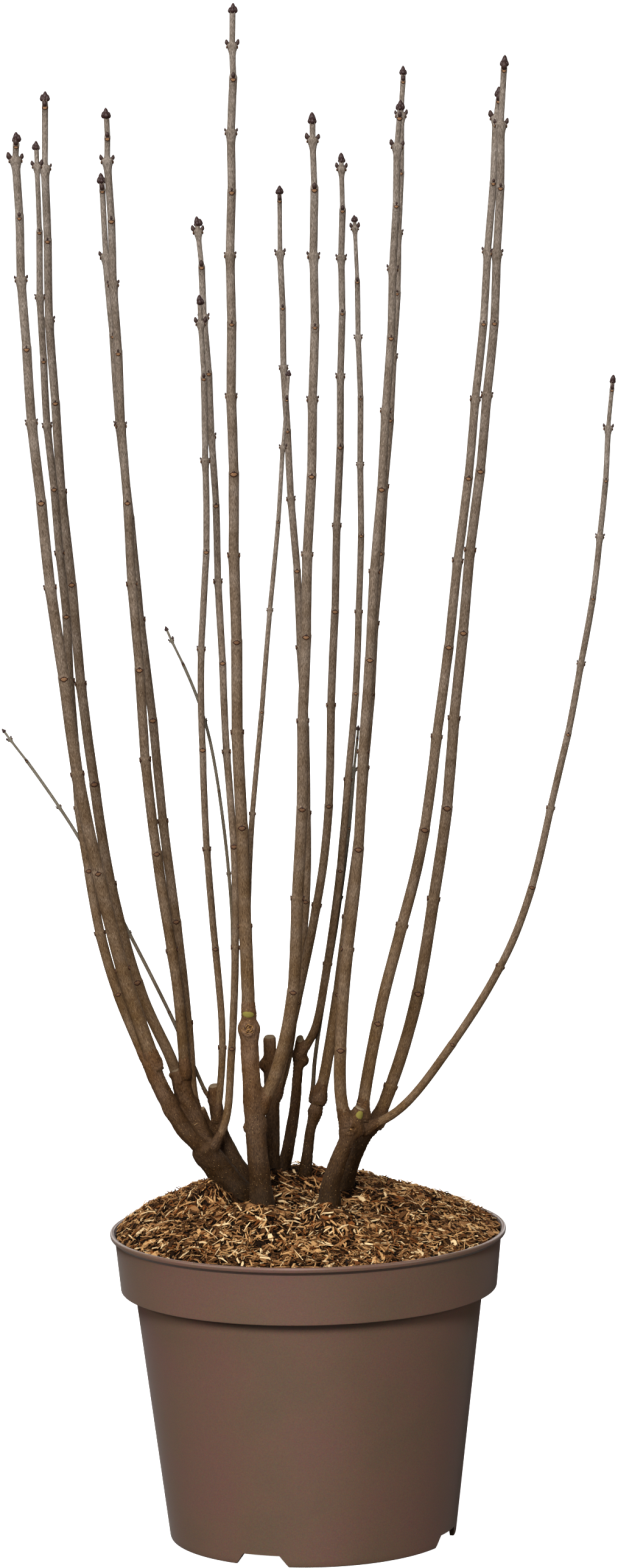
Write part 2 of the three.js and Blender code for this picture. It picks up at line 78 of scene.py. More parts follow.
# %% Colours and shader nodes
def linear(hex_colour):
    """sRGB to linear: c / 12.92 up to 0.04045, and ((c + 0.055) / 1.055) to the 2.4 above."""
    srgb = np.array([int(hex_colour[i:i + 2], 16) for i in (1, 3, 5)]) / 255
    light = np.where(srgb <= 0.04045, srgb / 12.92, ((srgb + 0.055) / 1.055) ** 2.4)
    return (*light.tolist(), 1.0)


def add_node(material, kind, values=None, links=None, stops=None, **settings):
    """Adds one shader node. stops are the (place, colour) pairs of a ramp, where it is one."""
    tree = material.node_tree
    node = tree.nodes.new(kind)
    for name, setting in settings.items():
        setattr(node, name, setting)
    for socket, value in (values or {}).items():
        node.inputs[socket].default_value = value
    for socket, source in (links or {}).items():
        tree.links.new(source, node.inputs[socket])
    if stops:
        ramp = node.color_ramp.elements
        while len(ramp) < len(stops):
            ramp.new(1.0)
        for element, (place, colour) in zip(ramp, stops):
            element.position = place
            element.color = linear(colour)
    return node


def new_material(name):
    """An empty node material with its output, to which the finish is linked."""
    material = bpy.data.materials.new(name)
    material.use_nodes = True
    material.node_tree.nodes.clear()
    output = material.node_tree.nodes.new("ShaderNodeOutputMaterial")
    return material, output.inputs["Surface"]


print("linear value of mid grey #808080:", round(linear("#808080")[0], 4))

# %% [markdown]
# ## From arrays to a mesh
#
# Nearly every piece here is a closed surface on a grid: rows of points that run round, stacked
# from one end to the other, with a point to close each end. A pot is that, and so are a twig, a
# bud and a chip of wood. Adding thousands of objects would be slow, so one function takes a
# whole stack of such grids and writes them into a single mesh with a few array calls.

# %% Closed surfaces from grids of points
def grid_faces(rows, columns):
    """Corner numbers of a grid that closes round its columns, with a pole past either end.
    Point row * columns + column is on the grid, and the poles are the two points after it."""
    row, column = np.meshgrid(np.arange(rows - 1), np.arange(columns), indexing="ij")
    here = row * columns + column
    beside = row * columns + (column + 1) % columns
    quads = np.stack([here, beside, beside + columns, here + columns], -1).reshape(-1, 4)
    around = np.arange(columns)
    after = (around + 1) % columns
    top = (rows - 1) * columns
    start = np.stack([np.full(columns, rows * columns), after, around], -1)
    end = np.stack([np.full(columns, rows * columns + 1), top + around, top + after], -1)
    return quads, np.concatenate([start, end])


def with_poles(values):
    """Flattens count x rows x columns values, with the mean of the end rows as the two poles."""
    poles = values[:, [0, -1]].mean(axis=2)
    return np.concatenate([values.reshape(len(values), -1, *values.shape[3:]), poles], axis=1)


def closed_surfaces(name, grids, layers=None, smooth=True):
    """One object from count x rows x columns x 3 points in mm. layers are values at the points."""
    count, rows, columns, _ = grids.shape
    points = with_poles(grids)
    shift = (np.arange(count) * points.shape[1])[:, None, None]
    quads, triangles = (faces + shift for faces in grid_faces(rows, columns))
    corners = np.concatenate([quads.ravel(), triangles.ravel()]).astype(np.int32)
    quad_starts = np.arange(quads.size // 4) * 4
    starts = np.concatenate([quad_starts, quads.size + np.arange(triangles.size // 3) * 3])

    mesh = bpy.data.meshes.new(name)
    mesh.vertices.add(points.size // 3)
    mesh.vertices.foreach_set("co", (points * MM).astype(np.float32).ravel())
    mesh.loops.add(len(corners))
    mesh.loops.foreach_set("vertex_index", corners)
    mesh.polygons.add(len(starts))
    mesh.polygons.foreach_set("loop_start", starts.astype(np.int32))
    mesh.polygons.foreach_set("use_smooth", np.full(len(starts), smooth))
    for layer, values in (layers or {}).items():
        is_vector = values.ndim == 4
        attribute = mesh.attributes.new(layer, "FLOAT_VECTOR" if is_vector else "FLOAT", "POINT")
        flat = with_poles(values).astype(np.float32).ravel()
        attribute.data.foreach_set("vector" if is_vector else "value", flat)
    mesh.update(calc_edges=True)
    mesh.validate()
    piece = bpy.data.objects.new(name, mesh)
    bpy.context.scene.collection.objects.link(piece)
    return piece


def finish_piece(piece, material, slot, replaced=()):
    """Gives a piece its material and the body that it moves with, and hides what it replaces. slot
    is not used.
    """
    piece.data.materials.clear()
    piece.data.materials.append(material)
    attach(piece, "root")
    if replaced:
        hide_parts(*replaced)


print("faces of a 10 by 12 grid:", [len(faces) for faces in grid_faces(10, 12)])

# %% [markdown]
# ## The pot
#
# A nursery pot is injection moulded in polypropylene in one shot: thin walls that lean out so
# that it leaves the mould, a stiff collar, a bead rolled over at the rim, and a foot ring with
# four drains in it. It could be carved from a cylinder, but a turned thing is one profile and
# one angle. So the wall is drawn once, from the middle of the underside, up the outside, over
# the bead, and down the inside to the middle of the floor, and then carried round.

# %% The pot's profile, carried round
POT = dict(height=221, bead=140.2, bead_height=4,      # heights and radii in mm
           collar_top=136.8, collar_foot=133.2, collar_from=179,
           neck=122.6, neck_height=173, foot=101.6, ring_inside=98.2, ring_outside=100.4,
           wall=2, floor=8, floor_thickness=2.5)        # floor is the height of its underside


def arc(centre_radius, centre_height, size, start, stop, steps):
    """Points of a rounding: centre plus size times the cosine and the sine of start to stop."""
    turn = np.radians(np.linspace(start, stop, steps))
    return np.stack([centre_radius + size * np.cos(turn), centre_height + size * np.sin(turn)], -1)


def straight(start, stop, steps):
    """Evenly spaced points from start to stop, without the last one."""
    share = np.linspace(0, 1, steps, endpoint=False)[:, None]
    return np.array(start) + (np.array(stop) - np.array(start)) * share


def body_radius(height):
    """Outside of the tapered body: straight from the foot's radius to the neck's."""
    return POT["foot"] + (POT["neck"] - POT["foot"]) * height / POT["neck_height"]


def outside_profile():
    """From under the floor's middle, over the foot ring and up the wall to the bead's top."""
    body_top, bead_foot, lip = 177, POT["height"] - POT["bead_height"], 1.55
    return [
        straight((2, POT["floor"]), (POT["ring_inside"], POT["floor"]), 12),
        straight((POT["ring_inside"], POT["floor"]), (POT["ring_inside"], 0), 4),
        straight((POT["ring_inside"], 0), (POT["ring_outside"], 0), 3),
        arc(POT["foot"] - 1.2, 1.2, 1.2, -90, -5, 6),
        straight((body_radius(2), 2), (body_radius(body_top), body_top), 60),
        arc(body_radius(body_top) + 1.2, POT["collar_from"] - 1.2, 1.2, 175, 95, 6),
        arc(POT["collar_foot"] - 0.7, POT["collar_from"] + 0.7, 0.7, -88, -5, 7),
        straight((POT["collar_foot"] + 0.03, POT["collar_from"] + 0.9),
                 (POT["collar_top"], bead_foot - 0.5), 26),
        arc(POT["bead"] - 1.3, bead_foot + 1.2, 1.1, -90, -10, 6),
        arc(POT["bead"] - lip, POT["height"] - lip, lip, -10, 150, 14)]


def inside_profile():
    """From the bead's inner edge down the collar and its step to the middle of the floor."""
    floor_top = POT["floor"] + POT["floor_thickness"]
    step_top = POT["collar_from"] + POT["wall"]
    corners = [(136.6, POT["height"] - POT["bead_height"]), (134.2, 211), (131.3, 185.5),
               (126.5, step_top), (121.6, step_top - 0.6),
               (body_radius(floor_top) - POT["wall"], floor_top), (2, floor_top)]
    inner_edge = arc(POT["bead"] - 3.3, POT["height"] - 1.2, 0.5, 30, -30, 4)
    return [inner_edge, *map(straight, corners, corners[1:], (6, 16, 6, 5, 30, 10))]


def turned(profile, columns):
    """Carries a profile round: x is radius times cosine, y radius times sine, z the height."""
    angle = np.linspace(0, 2 * np.pi, columns, endpoint=False)
    radius, height = profile[:, 0, None], profile[:, 1, None]
    points = (radius * np.cos(angle), radius * np.sin(angle), height + 0 * angle)
    return np.stack(points, -1)[None]


pot_profile = np.concatenate(outside_profile() + inside_profile())
pot = closed_surfaces("pot_shell", turned(pot_profile, 288))
print("pot faces before the drains:", len(pot.data.polygons))

# %% [markdown]
# ## The drains
#
# Each drain is a trapezium through the foot ring that also opens the edge of the floor, so that
# water leaves between the pot and what it stands on. A turned profile can't have gaps, so this
# is the one place for a cutter: a wedge of the drain's outline, taken away four times.

# %% Cut the four drains
DRAIN = dict(count=4, first=-21, below=41, above=27, height=8.3, reach=15)   # degrees, mm


def drain_cutter(turn):
    """A prism: the trapezium's outline in front of the foot ring and again behind its reach, in
    the order in which its faces look outwards."""
    half_below, half_above = DRAIN["below"] / 2, DRAIN["above"] / 2
    across = np.array([-half_below, half_below, half_above, -half_above])
    past = 1.0            # mm that the cutter stands out of the pot, so that no two faces meet
    up = np.array([-past, -past, DRAIN["height"], DRAIN["height"]])
    depth = np.array([past, -DRAIN["reach"] - past])
    out = POT["foot"] + depth[:, None] + 0 * across
    angle = np.radians(turn - 90)
    x = out * np.cos(angle) - across * np.sin(angle)
    y = out * np.sin(angle) + across * np.cos(angle)
    grid = np.stack([x, y, up + 0 * out], -1)[None]
    return closed_surfaces("drain_cutter", grid[:, ::-1], smooth=False)


def apply_modifiers(piece):
    """Puts the mesh that the modifiers make in the place of the piece's own."""
    applied = bpy.data.meshes.new_from_object(
        piece.evaluated_get(bpy.context.evaluated_depsgraph_get()))
    piece.modifiers.clear()
    piece.data = applied


for number in range(DRAIN["count"]):
    cutter = drain_cutter(DRAIN["first"] + number * 360 / DRAIN["count"])
    cut = pot.modifiers.new("drain", "BOOLEAN")
    cut.object, cut.operation, cut.solver = cutter, "DIFFERENCE", "EXACT"
    apply_modifiers(pot)
    bpy.data.objects.remove(cutter)
pot.data.name = "pot_shell"
pot.data.set_sharp_from_angle(angle=np.radians(38))
print("pot faces with the drains:", len(pot.data.polygons))

# %% [markdown]
# ## Moulded polypropylene
#
# The plastic is coloured through, so it has no edge wear, only the slight clouds that pigment
# leaves where the melt flowed, and a satin skin from a fine-blasted mould. To the eye that is a
# warm taupe with a broad soft highlight, and a paler, cooler edge where the light grazes it. An
# index of refraction of 1.49 gives most of that, and a trace of sheen the rest.

# %% Finish of the pot
polypropylene, surface = new_material("moulded_polypropylene")
place = add_node(polypropylene, "ShaderNodeTexCoord").outputs["Object"]
cloud = add_node(polypropylene, "ShaderNodeTexNoise", {"Scale": 1 / (55 * MM), "Detail": 2.0},
                 {"Vector": place})
clouds = add_node(polypropylene, "ShaderNodeValToRGB", links={"Fac": cloud.outputs["Fac"]},
                  stops=[(0.3, "#735e4e"), (0.5, "#785f50"), (0.7, "#7a5d52")])
# blasting marks are about 0.15 mm wide; they are drawn at 0.8 mm so that they show at all
blast = add_node(polypropylene, "ShaderNodeTexNoise", {"Scale": 1 / (0.8 * MM), "Detail": 3.0},
                 {"Vector": place})
speckle = add_node(polypropylene, "ShaderNodeMixRGB", {"Fac": 0.4},
                   {"Color1": clouds.outputs["Color"], "Color2": blast.outputs["Color"]},
                   blend_type="OVERLAY")
# a speck of darker pigment every few centimetres, about a millimetre across
far = add_node(polypropylene, "ShaderNodeTexVoronoi", {"Scale": 1 / (26 * MM)}, {"Vector": place})
speck = add_node(polypropylene, "ShaderNodeMapRange", {"From Min": 0.030, "From Max": 0.018},
                 {"Value": far.outputs["Distance"]})
dotted = add_node(polypropylene, "ShaderNodeMixRGB", {"Color2": linear("#35261d")},
                  {"Fac": speck.outputs["Result"], "Color1": speckle.outputs["Color"]})
skin = add_node(polypropylene, "ShaderNodeBump", {"Strength": 0.12, "Distance": 0.15 * MM},
                {"Height": blast.outputs["Fac"]})
plastic = add_node(polypropylene, "ShaderNodeBsdfPrincipled",
                   {"Roughness": 0.42, "IOR": 1.49, "Sheen Weight": 0.15, "Sheen Roughness": 0.45},
                   {"Base Color": dotted.outputs["Color"], "Normal": skin.outputs["Normal"]})
polypropylene.node_tree.links.new(plastic.outputs["BSDF"], surface)
finish_piece(pot, polypropylene, "pot_plastic", replaced=["pot"])
print("pot finished in", polypropylene.name)

# %% [markdown]
# ## Where the limbs run
#
# A living stem is never straight, but its bends are few and soft. Each limb is therefore given
# by its foot, its tip, its two diameters and five strays: how far it leaves the straight line at
# five shares of its rise. A spline goes through those points. The kind that spaces its points by
# the square root of the distance between them doesn't overshoot at a tight elbow, where a shoot
# leaves its stem sideways and turns up.
#
# The old stems come first. Those that stand in the chips are marked, and collars are places
# where a stem swells or narrows: the share of its length, and the mm added to its diameter.

# %% The old stems
def limb(foot, tip, diameters, strays, **more):
    """One limb's record. Places, diameters (at foot and tip) and strays to the right are in mm."""
    return dict(foot=foot, tip=tip, diameters=diameters, strays=strays, **more)


STEMS = {
    "left_stool": limb((-54, 8, 248), (-75, 3, 282), (21.5, 17), (0, 0, 1, 1, 0), standing=True),
    "left_outer_bough": limb((-70, 2, 277), (-110, -2, 345), (12, 12), (-2, -4, -7, -6, -4)),
    "left_inner_bough": limb((-68, 6, 275), (-89, 12, 334), (13, 13.4), (0, 0, -1, -3, -3)),
    "left_back_stem": limb((-45, 24, 251), (-65, 22, 320), (13.5, 8.6), (0, -1, -3, -5.5, -3.5),
                           standing=True),
    "front_stem": limb((-32, -32, 243), (-39, -30, 379), (16, 11.8), (0, 0, -0.5, -1, -1),
                       standing=True, collars=[(0.93, 3.0), (1.0, -2.4)]),
    "back_left_stem": limb((-25, 46, 251), (-25, 48, 350), (10.4, 9.2), (0, 0.5, 1, 1, 0),
                           standing=True, collars=[(0.5, 0.8)]),
    "back_middle_stem": limb((-17, 66, 251), (-3.5, 66, 345), (9.2, 6.4), (0, 1, 2, 2.5, 1.5),
                             standing=True, collars=[(0.86, 1.4)]),
    "back_right_stem": limb((-2, 52, 248), (8, 50, 315), (8.6, 6.2), (0, 0, 0, 0, 2),
                            standing=True, collars=[(0.7, 3)]),
    "right_stem": limb((15, -32, 244), (38, -26, 311), (14.4, 9), (0, -1.5, -3.5, -3, -1),
                       standing=True, collars=[(0.78, 3.6)]),
    "right_back_stem": limb((28, 28, 245), (50, 20, 296), (9.2, 9.6), (0, -1, -2, -3, -2),
                            standing=True),
    "dead_spur": limb((-62, 19, 283), (-73, 10, 306), (6.5, 4), (0, 0, -1, -2, -1)),
}
print("old stems:", len(STEMS), "of them standing:", sum("standing" in s for s in STEMS.values()))

# %% [markdown]
# ## The young shoots
#
# A lilac carries its buds in opposite pairs, each pair a quarter turn on from the last, so seen
# from one side they take turns: a pair that stands out left and right, then one that faces the
# eye. pairs holds the distances of the top two from the tip, top says where the first points,
# and from the second down each gap is longer than the one above by stretch times internode.
# collar is how much thicker the foot is, as a share. It is 0.3 unless it is given.

# %% The young shoots' records
SHOOTS = {
    "low_twig_left": limb((-66, 24, 308), (-213, 100, 569), (2.9, 2.3), (-1, 1, 5, 9, 10),
                          pairs=(10, 30), top="sides", internode=40, stretch=0.2),
    "shoot_01": limb((-105, -2, 338), (-187, -60, 1000), (10.2, 5.4), (-4, -12, -22, -23, -16),
                     collar=0.02, pairs=(10, 20), top="front", internode=39, stretch=0.11),
    "shoot_02": limb((-110, 6, 338), (-176, 40, 990), (7.6, 4.3), (-7, -19, -27, -20, -15),
                     collar=0.1, pairs=(18, 64), top="sides", internode=45, stretch=0),
    "shoot_03": limb((-88, 20, 318), (-173, 110, 1023), (8.2, 5.4), (-4.3, -20, -31.4, -29, -19.5),
                     collar=0.1, pairs=(12, 55), top="front", internode=52, stretch=0.07),
    "shoot_04": limb((-85, 8, 330), (-126, -20, 1014), (8, 5), (0.5, 0, -8, -8.5, -5.5),
                     collar=0.02, pairs=(21, 37), top="front", internode=41, stretch=0.08),
    "shoot_05": limb((-77, 11, 299), (-133, 66, 966), (7.4, 5), (-1.3, 0.2, -2.1, -3.8, -4.4),
                     collar=0.1, depth_at_quarter=36, pairs=(13, 59), top="front", internode=56,
                     stretch=0.1),
    "low_twig_middle": limb((-49, 1, 392), (-93, 30, 648), (2.6, 2.2), (1, 4, 10, 15, 15),
                            pairs=(11, 30), top="sides", internode=42, stretch=0.2),
    "shoot_06": limb((-66, 0, 279), (-65, 50, 935), (5.6, 4.6), (9, 13.5, 19, 12.5, 8),
                     depth_at_quarter=0, pairs=(11, 36), top="sides", internode=35, stretch=0.13),
    "shoot_07": limb((-64, 20, 296), (-63, -25, 884), (5.2, 4.4), (3, 6, 0, -5, 1.5),
                     depth_at_quarter=12, pairs=(20, 58), top="sides", internode=58, stretch=0.1),
    "shoot_08": limb((-39, -30, 376), (-36, -55, 1085), (9.4, 5.2), (0, -1, -4, -5, -4.5),
                     collar=0.04, pairs=(30, 52), top="sides", internode=37, stretch=0.09),
    "shoot_09": limb((-22, 51, 306), (-8, 110, 953), (7, 4.1), (7, 14, 22, 17, 6),
                     depth_at_quarter=78, pairs=(11, 48), top="front", internode=39, stretch=0.08),
    "shoot_10": limb((-39, -26, 376), (-3, -10, 830), (4.4, 2.9), (-1, -4, -6, -4, -1),
                     depth_at_quarter=-16, pairs=(21, 54), top="front", internode=52,
                     stretch=0.19),
    "shoot_11": limb((-33, -29, 312), (17, -90, 1010), (9.2, 5.2), (9, 18, 19, 14, 10),
                     pairs=(19, 52), top="sides", internode=46, stretch=0.05),
    "shoot_12": limb((-22, 47, 306), (37, 30, 978), (6.8, 4.4), (3, 10, 22.5, 18, 11),
                     depth_at_quarter=38, pairs=(11, 40), top="sides", internode=33, stretch=0.17),
    "shoot_13": limb((-5, 65, 332), (45, 10, 936), (6.2, 3.5), (10, 16, 21, 22.5, 14),
                     depth_at_quarter=45, pairs=(10, 47), top="sides", internode=39, stretch=0.1),
    "low_twig_right": limb((4, 55, 303), (42, 74, 570), (3.1, 2.4), (0, -1, 0, 3, 2.5),
                           depth_at_quarter=74, pairs=(10, 32), top="front", internode=42,
                           stretch=0.2),
    "shoot_14": limb((9, 51, 302), (82, 136, 1036), (8.2, 4.6), (3, 7, 13, 12, 9.5),
                     pairs=(12, 36), top="front", internode=41, stretch=0.03),
    "shoot_15": limb((29, -28, 299), (76, -70, 1017), (8.8, 4.7), (-6, -8, -3, -1, 2),
                     pairs=(12, 32), top="front", internode=40, stretch=0.09),
    "shoot_16": limb((49, 19, 291), (149, -20, 1045), (9.2, 5.2), (7, 16.5, 23, 19, 15.5),
                     depth_at_quarter=4, pairs=(10, 48), top="front", internode=43, stretch=0.06),
    "shoot_17": limb((39, -23, 303), (147, 35, 1022), (8.8, 4.7), (0, 3, 17, 17, 12),
                     depth_at_quarter=18, pairs=(10, 22), top="front", internode=45, stretch=0.06),
    "shoot_18": limb((40, -23, 294), (219.5, -60, 826), (6.4, 3.7), (21, 39, 61, 53, 33),
                     pairs=(10, 37), top="front", internode=36, stretch=0.1),
}
print("young shoots, with the low twigs:", len(SHOOTS))

# %% [markdown]
# ## From a record to a path
#
# A path is many points with the distance of each from the foot, and the direction there. To
# build a skin round it, two directions across the limb are needed as well. Taking one of them as
# close to straight back as the limb allows keeps the left and right buds of every shoot really
# on its left and right, with no twist to undo.

# %% Paths and the directions across them
BENDS_AT = np.array([0.03, 0.1, 0.25, 0.5, 0.75])
Path = namedtuple("Path", "distance points along length")


def bend_points(record):
    """Foot, five bends and tip: the straight line's point at each share, moved by its stray.
    Where a depth is given at a quarter, depth runs straight from foot to it, and on to the tip."""
    foot, tip = np.array(record["foot"], float), np.array(record["tip"], float)
    bends = foot + (tip - foot) * BENDS_AT[:, None]
    bends[:, 0] += record["strays"]
    if "depth_at_quarter" in record:
        depths = [foot[1], record["depth_at_quarter"], tip[1]]
        bends[:, 1] = np.interp(BENDS_AT, [0, 0.25, 1], depths)
    return np.vstack([foot, bends, tip])


def limb_path(record):
    """Spline through the bends. On each stretch it is the cubic b + t1 u + (-3b + 3c - 2 t1 - t2)
    u^2 + (2b - 2c + t1 + t2) u^3, with the tangents from neighbours spaced by root distance."""
    points = bend_points(record)
    ends = 2 * points[[0, -1]] - points[[1, -2]]
    padded = np.vstack([ends[:1], points, ends[1:]])
    gap = np.sqrt(np.linalg.norm(np.diff(padded, axis=0), axis=1))[:, None]
    a, b, c, d = (padded[i:len(padded) - 3 + i] for i in range(4))
    before, here, after = gap[:-2], gap[1:-1], gap[2:]
    t1 = ((b - a) / before - (c - a) / (before + here) + (c - b) / here) * here
    t2 = ((c - b) / here - (d - b) / (here + after) + (d - c) / after) * here
    u = np.linspace(0, 1, 400, endpoint=False)[:, None, None]
    square, cube = -3 * b + 3 * c - 2 * t1 - t2, 2 * b - 2 * c + t1 + t2
    curve = b + t1 * u + square * u ** 2 + cube * u ** 3
    curve = np.vstack([curve.transpose(1, 0, 2).reshape(-1, 3), points[-1:]])
    steps = np.linalg.norm(np.diff(curve, axis=0), axis=1)
    distance = np.concatenate([[0], np.cumsum(steps)])
    along = np.gradient(curve, distance, axis=0)
    return Path(distance, curve, along, distance[-1])


def frames_at(path, distance):
    """Centre and the directions along, right and back at some distances. Past either end the
    path runs straight on."""
    inside = np.clip(distance, 0, path.length)
    centre, along = (np.stack([np.interp(inside, path.distance, v) for v in values.T], -1)
                     for values in (path.points, path.along))
    along /= np.linalg.norm(along, axis=-1, keepdims=True)
    centre = centre + along * (distance - inside)[..., None]
    back = np.array([0, 1, 0]) - along * along[..., 1:2]
    back /= np.linalg.norm(back, axis=-1, keepdims=True)
    return centre, along, np.cross(back, along), back


def tube_grid(path, distance, angle, radius, aside=0.0):
    """Skin round a path: centre + radius x (right x cosine of the angle + back x its sine)."""
    centre, _, right, back = (part[:, None] for part in frames_at(path, distance))
    centre = centre + right * np.reshape(aside, (-1, 1, 1))
    across = right * np.cos(angle)[..., None] + back * np.sin(angle)[..., None]
    return centre + radius[..., None] * across


paths = {name: limb_path(record) for name, record in {**STEMS, **SHOOTS}.items()}
print("longest shoot in mm:", round(max(path.length for path in paths.values())))

# %% [markdown]
# ## Bark has relief
#
# Bark splits and folds along the limb as the wood under it thickens, and old wood is lumpy where
# twigs were once cut. Both are added to the radius before the skin is built. The relief is a sum
# of sine waves: each runs a whole number of times round the limb, so that it meets itself, and
# has its own wavelength along it. Lumps and wounds are bumps at a place on the skin.

# %% Relief of bark, lumps and wounds
def waves(distance, angle, seed, count, times_round, wavelength):
    """Sum of sines of (times round x angle + 2 pi distance / wavelength + phase), over the root
    of how many there are, so that more waves don't make a higher relief."""
    draw = np.random.default_rng(seed)
    turns = draw.integers(times_round[0], times_round[1] + 1, count)
    length = draw.uniform(*wavelength, count) * draw.choice([-1, 1], count)
    phase = draw.uniform(0, 2 * np.pi, count)
    return sum(np.sin(n * angle + 2 * np.pi * distance / w + p)
               for n, w, p in zip(turns, length, phase)) / np.sqrt(count)


def skin_offset(distance, angle, radius, at, facing):
    """Distances along and round the skin, in mm, from a place on it."""
    turn = (angle - np.radians(facing) + np.pi) % (2 * np.pi) - np.pi
    return distance - at, turn * radius


def bump(distance, angle, radius, at, facing, height, size):
    """height times e to the minus fourth power of how many sizes away a point is."""
    up, across = skin_offset(distance, angle, radius, at, facing)
    return height * np.exp(-((up ** 2 + across ** 2) / size ** 2) ** 2)


def callus(distance, angle, radius, at, facing, size):
    """A healed wound: a ring of new bark at one size from its middle, a dent inside it, and
    ridges that run out like a star, as the cosine of five times the angle round it."""
    up, across = skin_offset(distance, angle, radius, at, facing)
    away = np.hypot(up, across) / size
    ring = 1.1 * np.exp(-((away - 1) / 0.3) ** 2)
    star = 1.0 * np.cos(5 * np.arctan2(up, across)) * np.exp(-((away - 0.7) / 0.4) ** 2)
    return ring + star - 1.5 * np.exp(-(away / 0.45) ** 2)


once_round = waves(0, np.linspace(0, 2 * np.pi, 60), 1, 6, (3, 9), (2, 6))
print("six waves round a limb add up to a height of", round(np.ptp(once_round), 2))

# %% [markdown]
# ## The old stems and boughs
#
# These are two to four years old, cut back hard, and swollen where shoots have sprung from them.
# A stem tapers, flares where it enters the chips, and has lumps where twigs once grew. A wound
# is where one was cut off flush and the bark has closed over it. Those cut across keep an end.
# On a stem a place is the share of its length and the way it faces in degrees: 0 is right, 90
# back, 180 left and 270 front.

# %% Lumps, wounds and radius of the old stems
LUMPS = {                 # place, height and size in mm
    "left_stool": [(0.8, 170, 1.2, 6), (0.95, 290, 1.0, 5)],
    "left_outer_bough": [(0.5, 200, 0.7, 5), (0.9, 330, 0.5, 4)],
    "left_inner_bough": [(0.97, 175, 1.6, 3.2), (0.93, 300, 1.2, 3.5), (0.9, 20, 1.2, 4),
                         (0.3, 250, 0.6, 5)],
    "left_back_stem": [(0.62, 350, 1.4, 4), (0.86, 200, 1.0, 3)],
    "front_stem": [(0.42, 180, 1.7, 2.6), (0.43, 20, 1.6, 6), (0.94, 5, 0.7, 5),
                   (0.94, 185, 0.8, 5)],
    "back_left_stem": [(0.8, 185, 3.0, 4.5), (0.72, 10, 1.2, 4)],
    "back_middle_stem": [(0.84, 0, 3.4, 4.2), (0.88, 190, 0.9, 4)],
    "back_right_stem": [(0.72, 180, 0.8, 4), (0.95, 320, 1.2, 3)],
    "right_stem": [(0.74, 195, 2.2, 5), (0.8, 330, 2.4, 4.5), (0.86, 275, 1.4, 4),
                   (0.35, 20, 0.5, 5)],
    "right_back_stem": [(0.85, 330, 1.4, 5)],
    "dead_spur": [(0.5, 90, 0.8, 3)],
}
WOUNDS = {                # place, size in mm
    "front_stem": (0.935, 268, 4.2), "right_stem": (0.78, 255, 3.4),
    "left_inner_bough": (0.83, 285, 3.4)}
CUT = {                   # stems cut across: the way the cut faces, its rise in mm
    "left_inner_bough": (200, 1.2), "left_back_stem": (250, 0.8), "back_left_stem": (262, 0.9),
    "back_middle_stem": (262, 2.6), "right_stem": (270, 1.0), "dead_spur": (180, 0.6)}


def slant(name, angle, share):
    """How far a slanted cut lifts a point along the stem: rise times the share of the radius at
    which the point is, times minus the cosine of the angle from the way that the cut faces."""
    facing, rise = CUT[name]
    return -rise * share * np.cos(angle - np.radians(facing))


def stem_radius(stem, distance, length):
    """Half the diameter: its straight taper, plus each collar's bell, which is 7 mm wide. A
    standing stem gets wider by a sixth over its lowest 16 mm, and goes on a little below."""
    foot, tip = stem["diameters"]
    diameter = foot + (tip - foot) * distance / length
    for share, growth in stem.get("collars", []):
        diameter = diameter + growth * np.exp(-((distance - share * length) / 7) ** 2)
    if "standing" in stem:
        diameter = diameter * (1 + 0.16 * np.clip(1 - distance / 16, 0, 1.4))
    return diameter / 2


print("lumps:", sum(len(lumps) for lumps in LUMPS.values()), "stems with a cut end:", len(CUT))

# %% [markdown]
# ## Where the buds sit
#
# A shoot is nearly a straight rod between its pairs of buds, but not at them: it widens over the
# last centimetre into a shelf that carries the buds, and starts above them at its narrowest. That
# step, back and forth, is what makes a bare lilac look like one. The radius is therefore the
# straight taper times a swelling that depends on how far away the nearest pair is.

# %% Bud pairs along a shoot
NODE = dict(bare_foot=26, longest_step=72, kink=0.5,               # mm
            waist=0.955, swelling=1.045, last_narrowing=0.2)       # shares of the radius
SHELF = ([20, 60, 150, 300, 600], [1.8, 1.4, 0.75, 0.38, 0.2])     # mm from the tip, mm of reach
Pair = namedtuple("Pair", "distance quarter slim")


def bud_pairs(shoot, length):
    """Distances from the tip: the first two as given, then steps that each grow by the same
    share of the internode. Quarter 0 points left and right, quarter 1 to the front and back."""
    first, second = shoot["pairs"]
    from_tip, at, step = [first], second, shoot["internode"]
    while at < length - NODE["bare_foot"]:
        step = min(step + (at > second) * shoot["internode"] * shoot["stretch"],
                   NODE["longest_step"])
        from_tip.append(at)
        at += step
    turned_on = shoot["top"] == "front"
    slim = min(1, shoot["diameters"][1] / 5)          # what is 5 mm thick at its tip counts as 1
    return [Pair(length - at, (i + turned_on) % 2, slim) for i, at in enumerate(from_tip)]


def step_down(distance, width):
    """A soft step from 1 to 0: one over (1 + e to the distance over the width)."""
    return 1 / (1 + np.exp(np.clip(distance / width, -30, 30)))


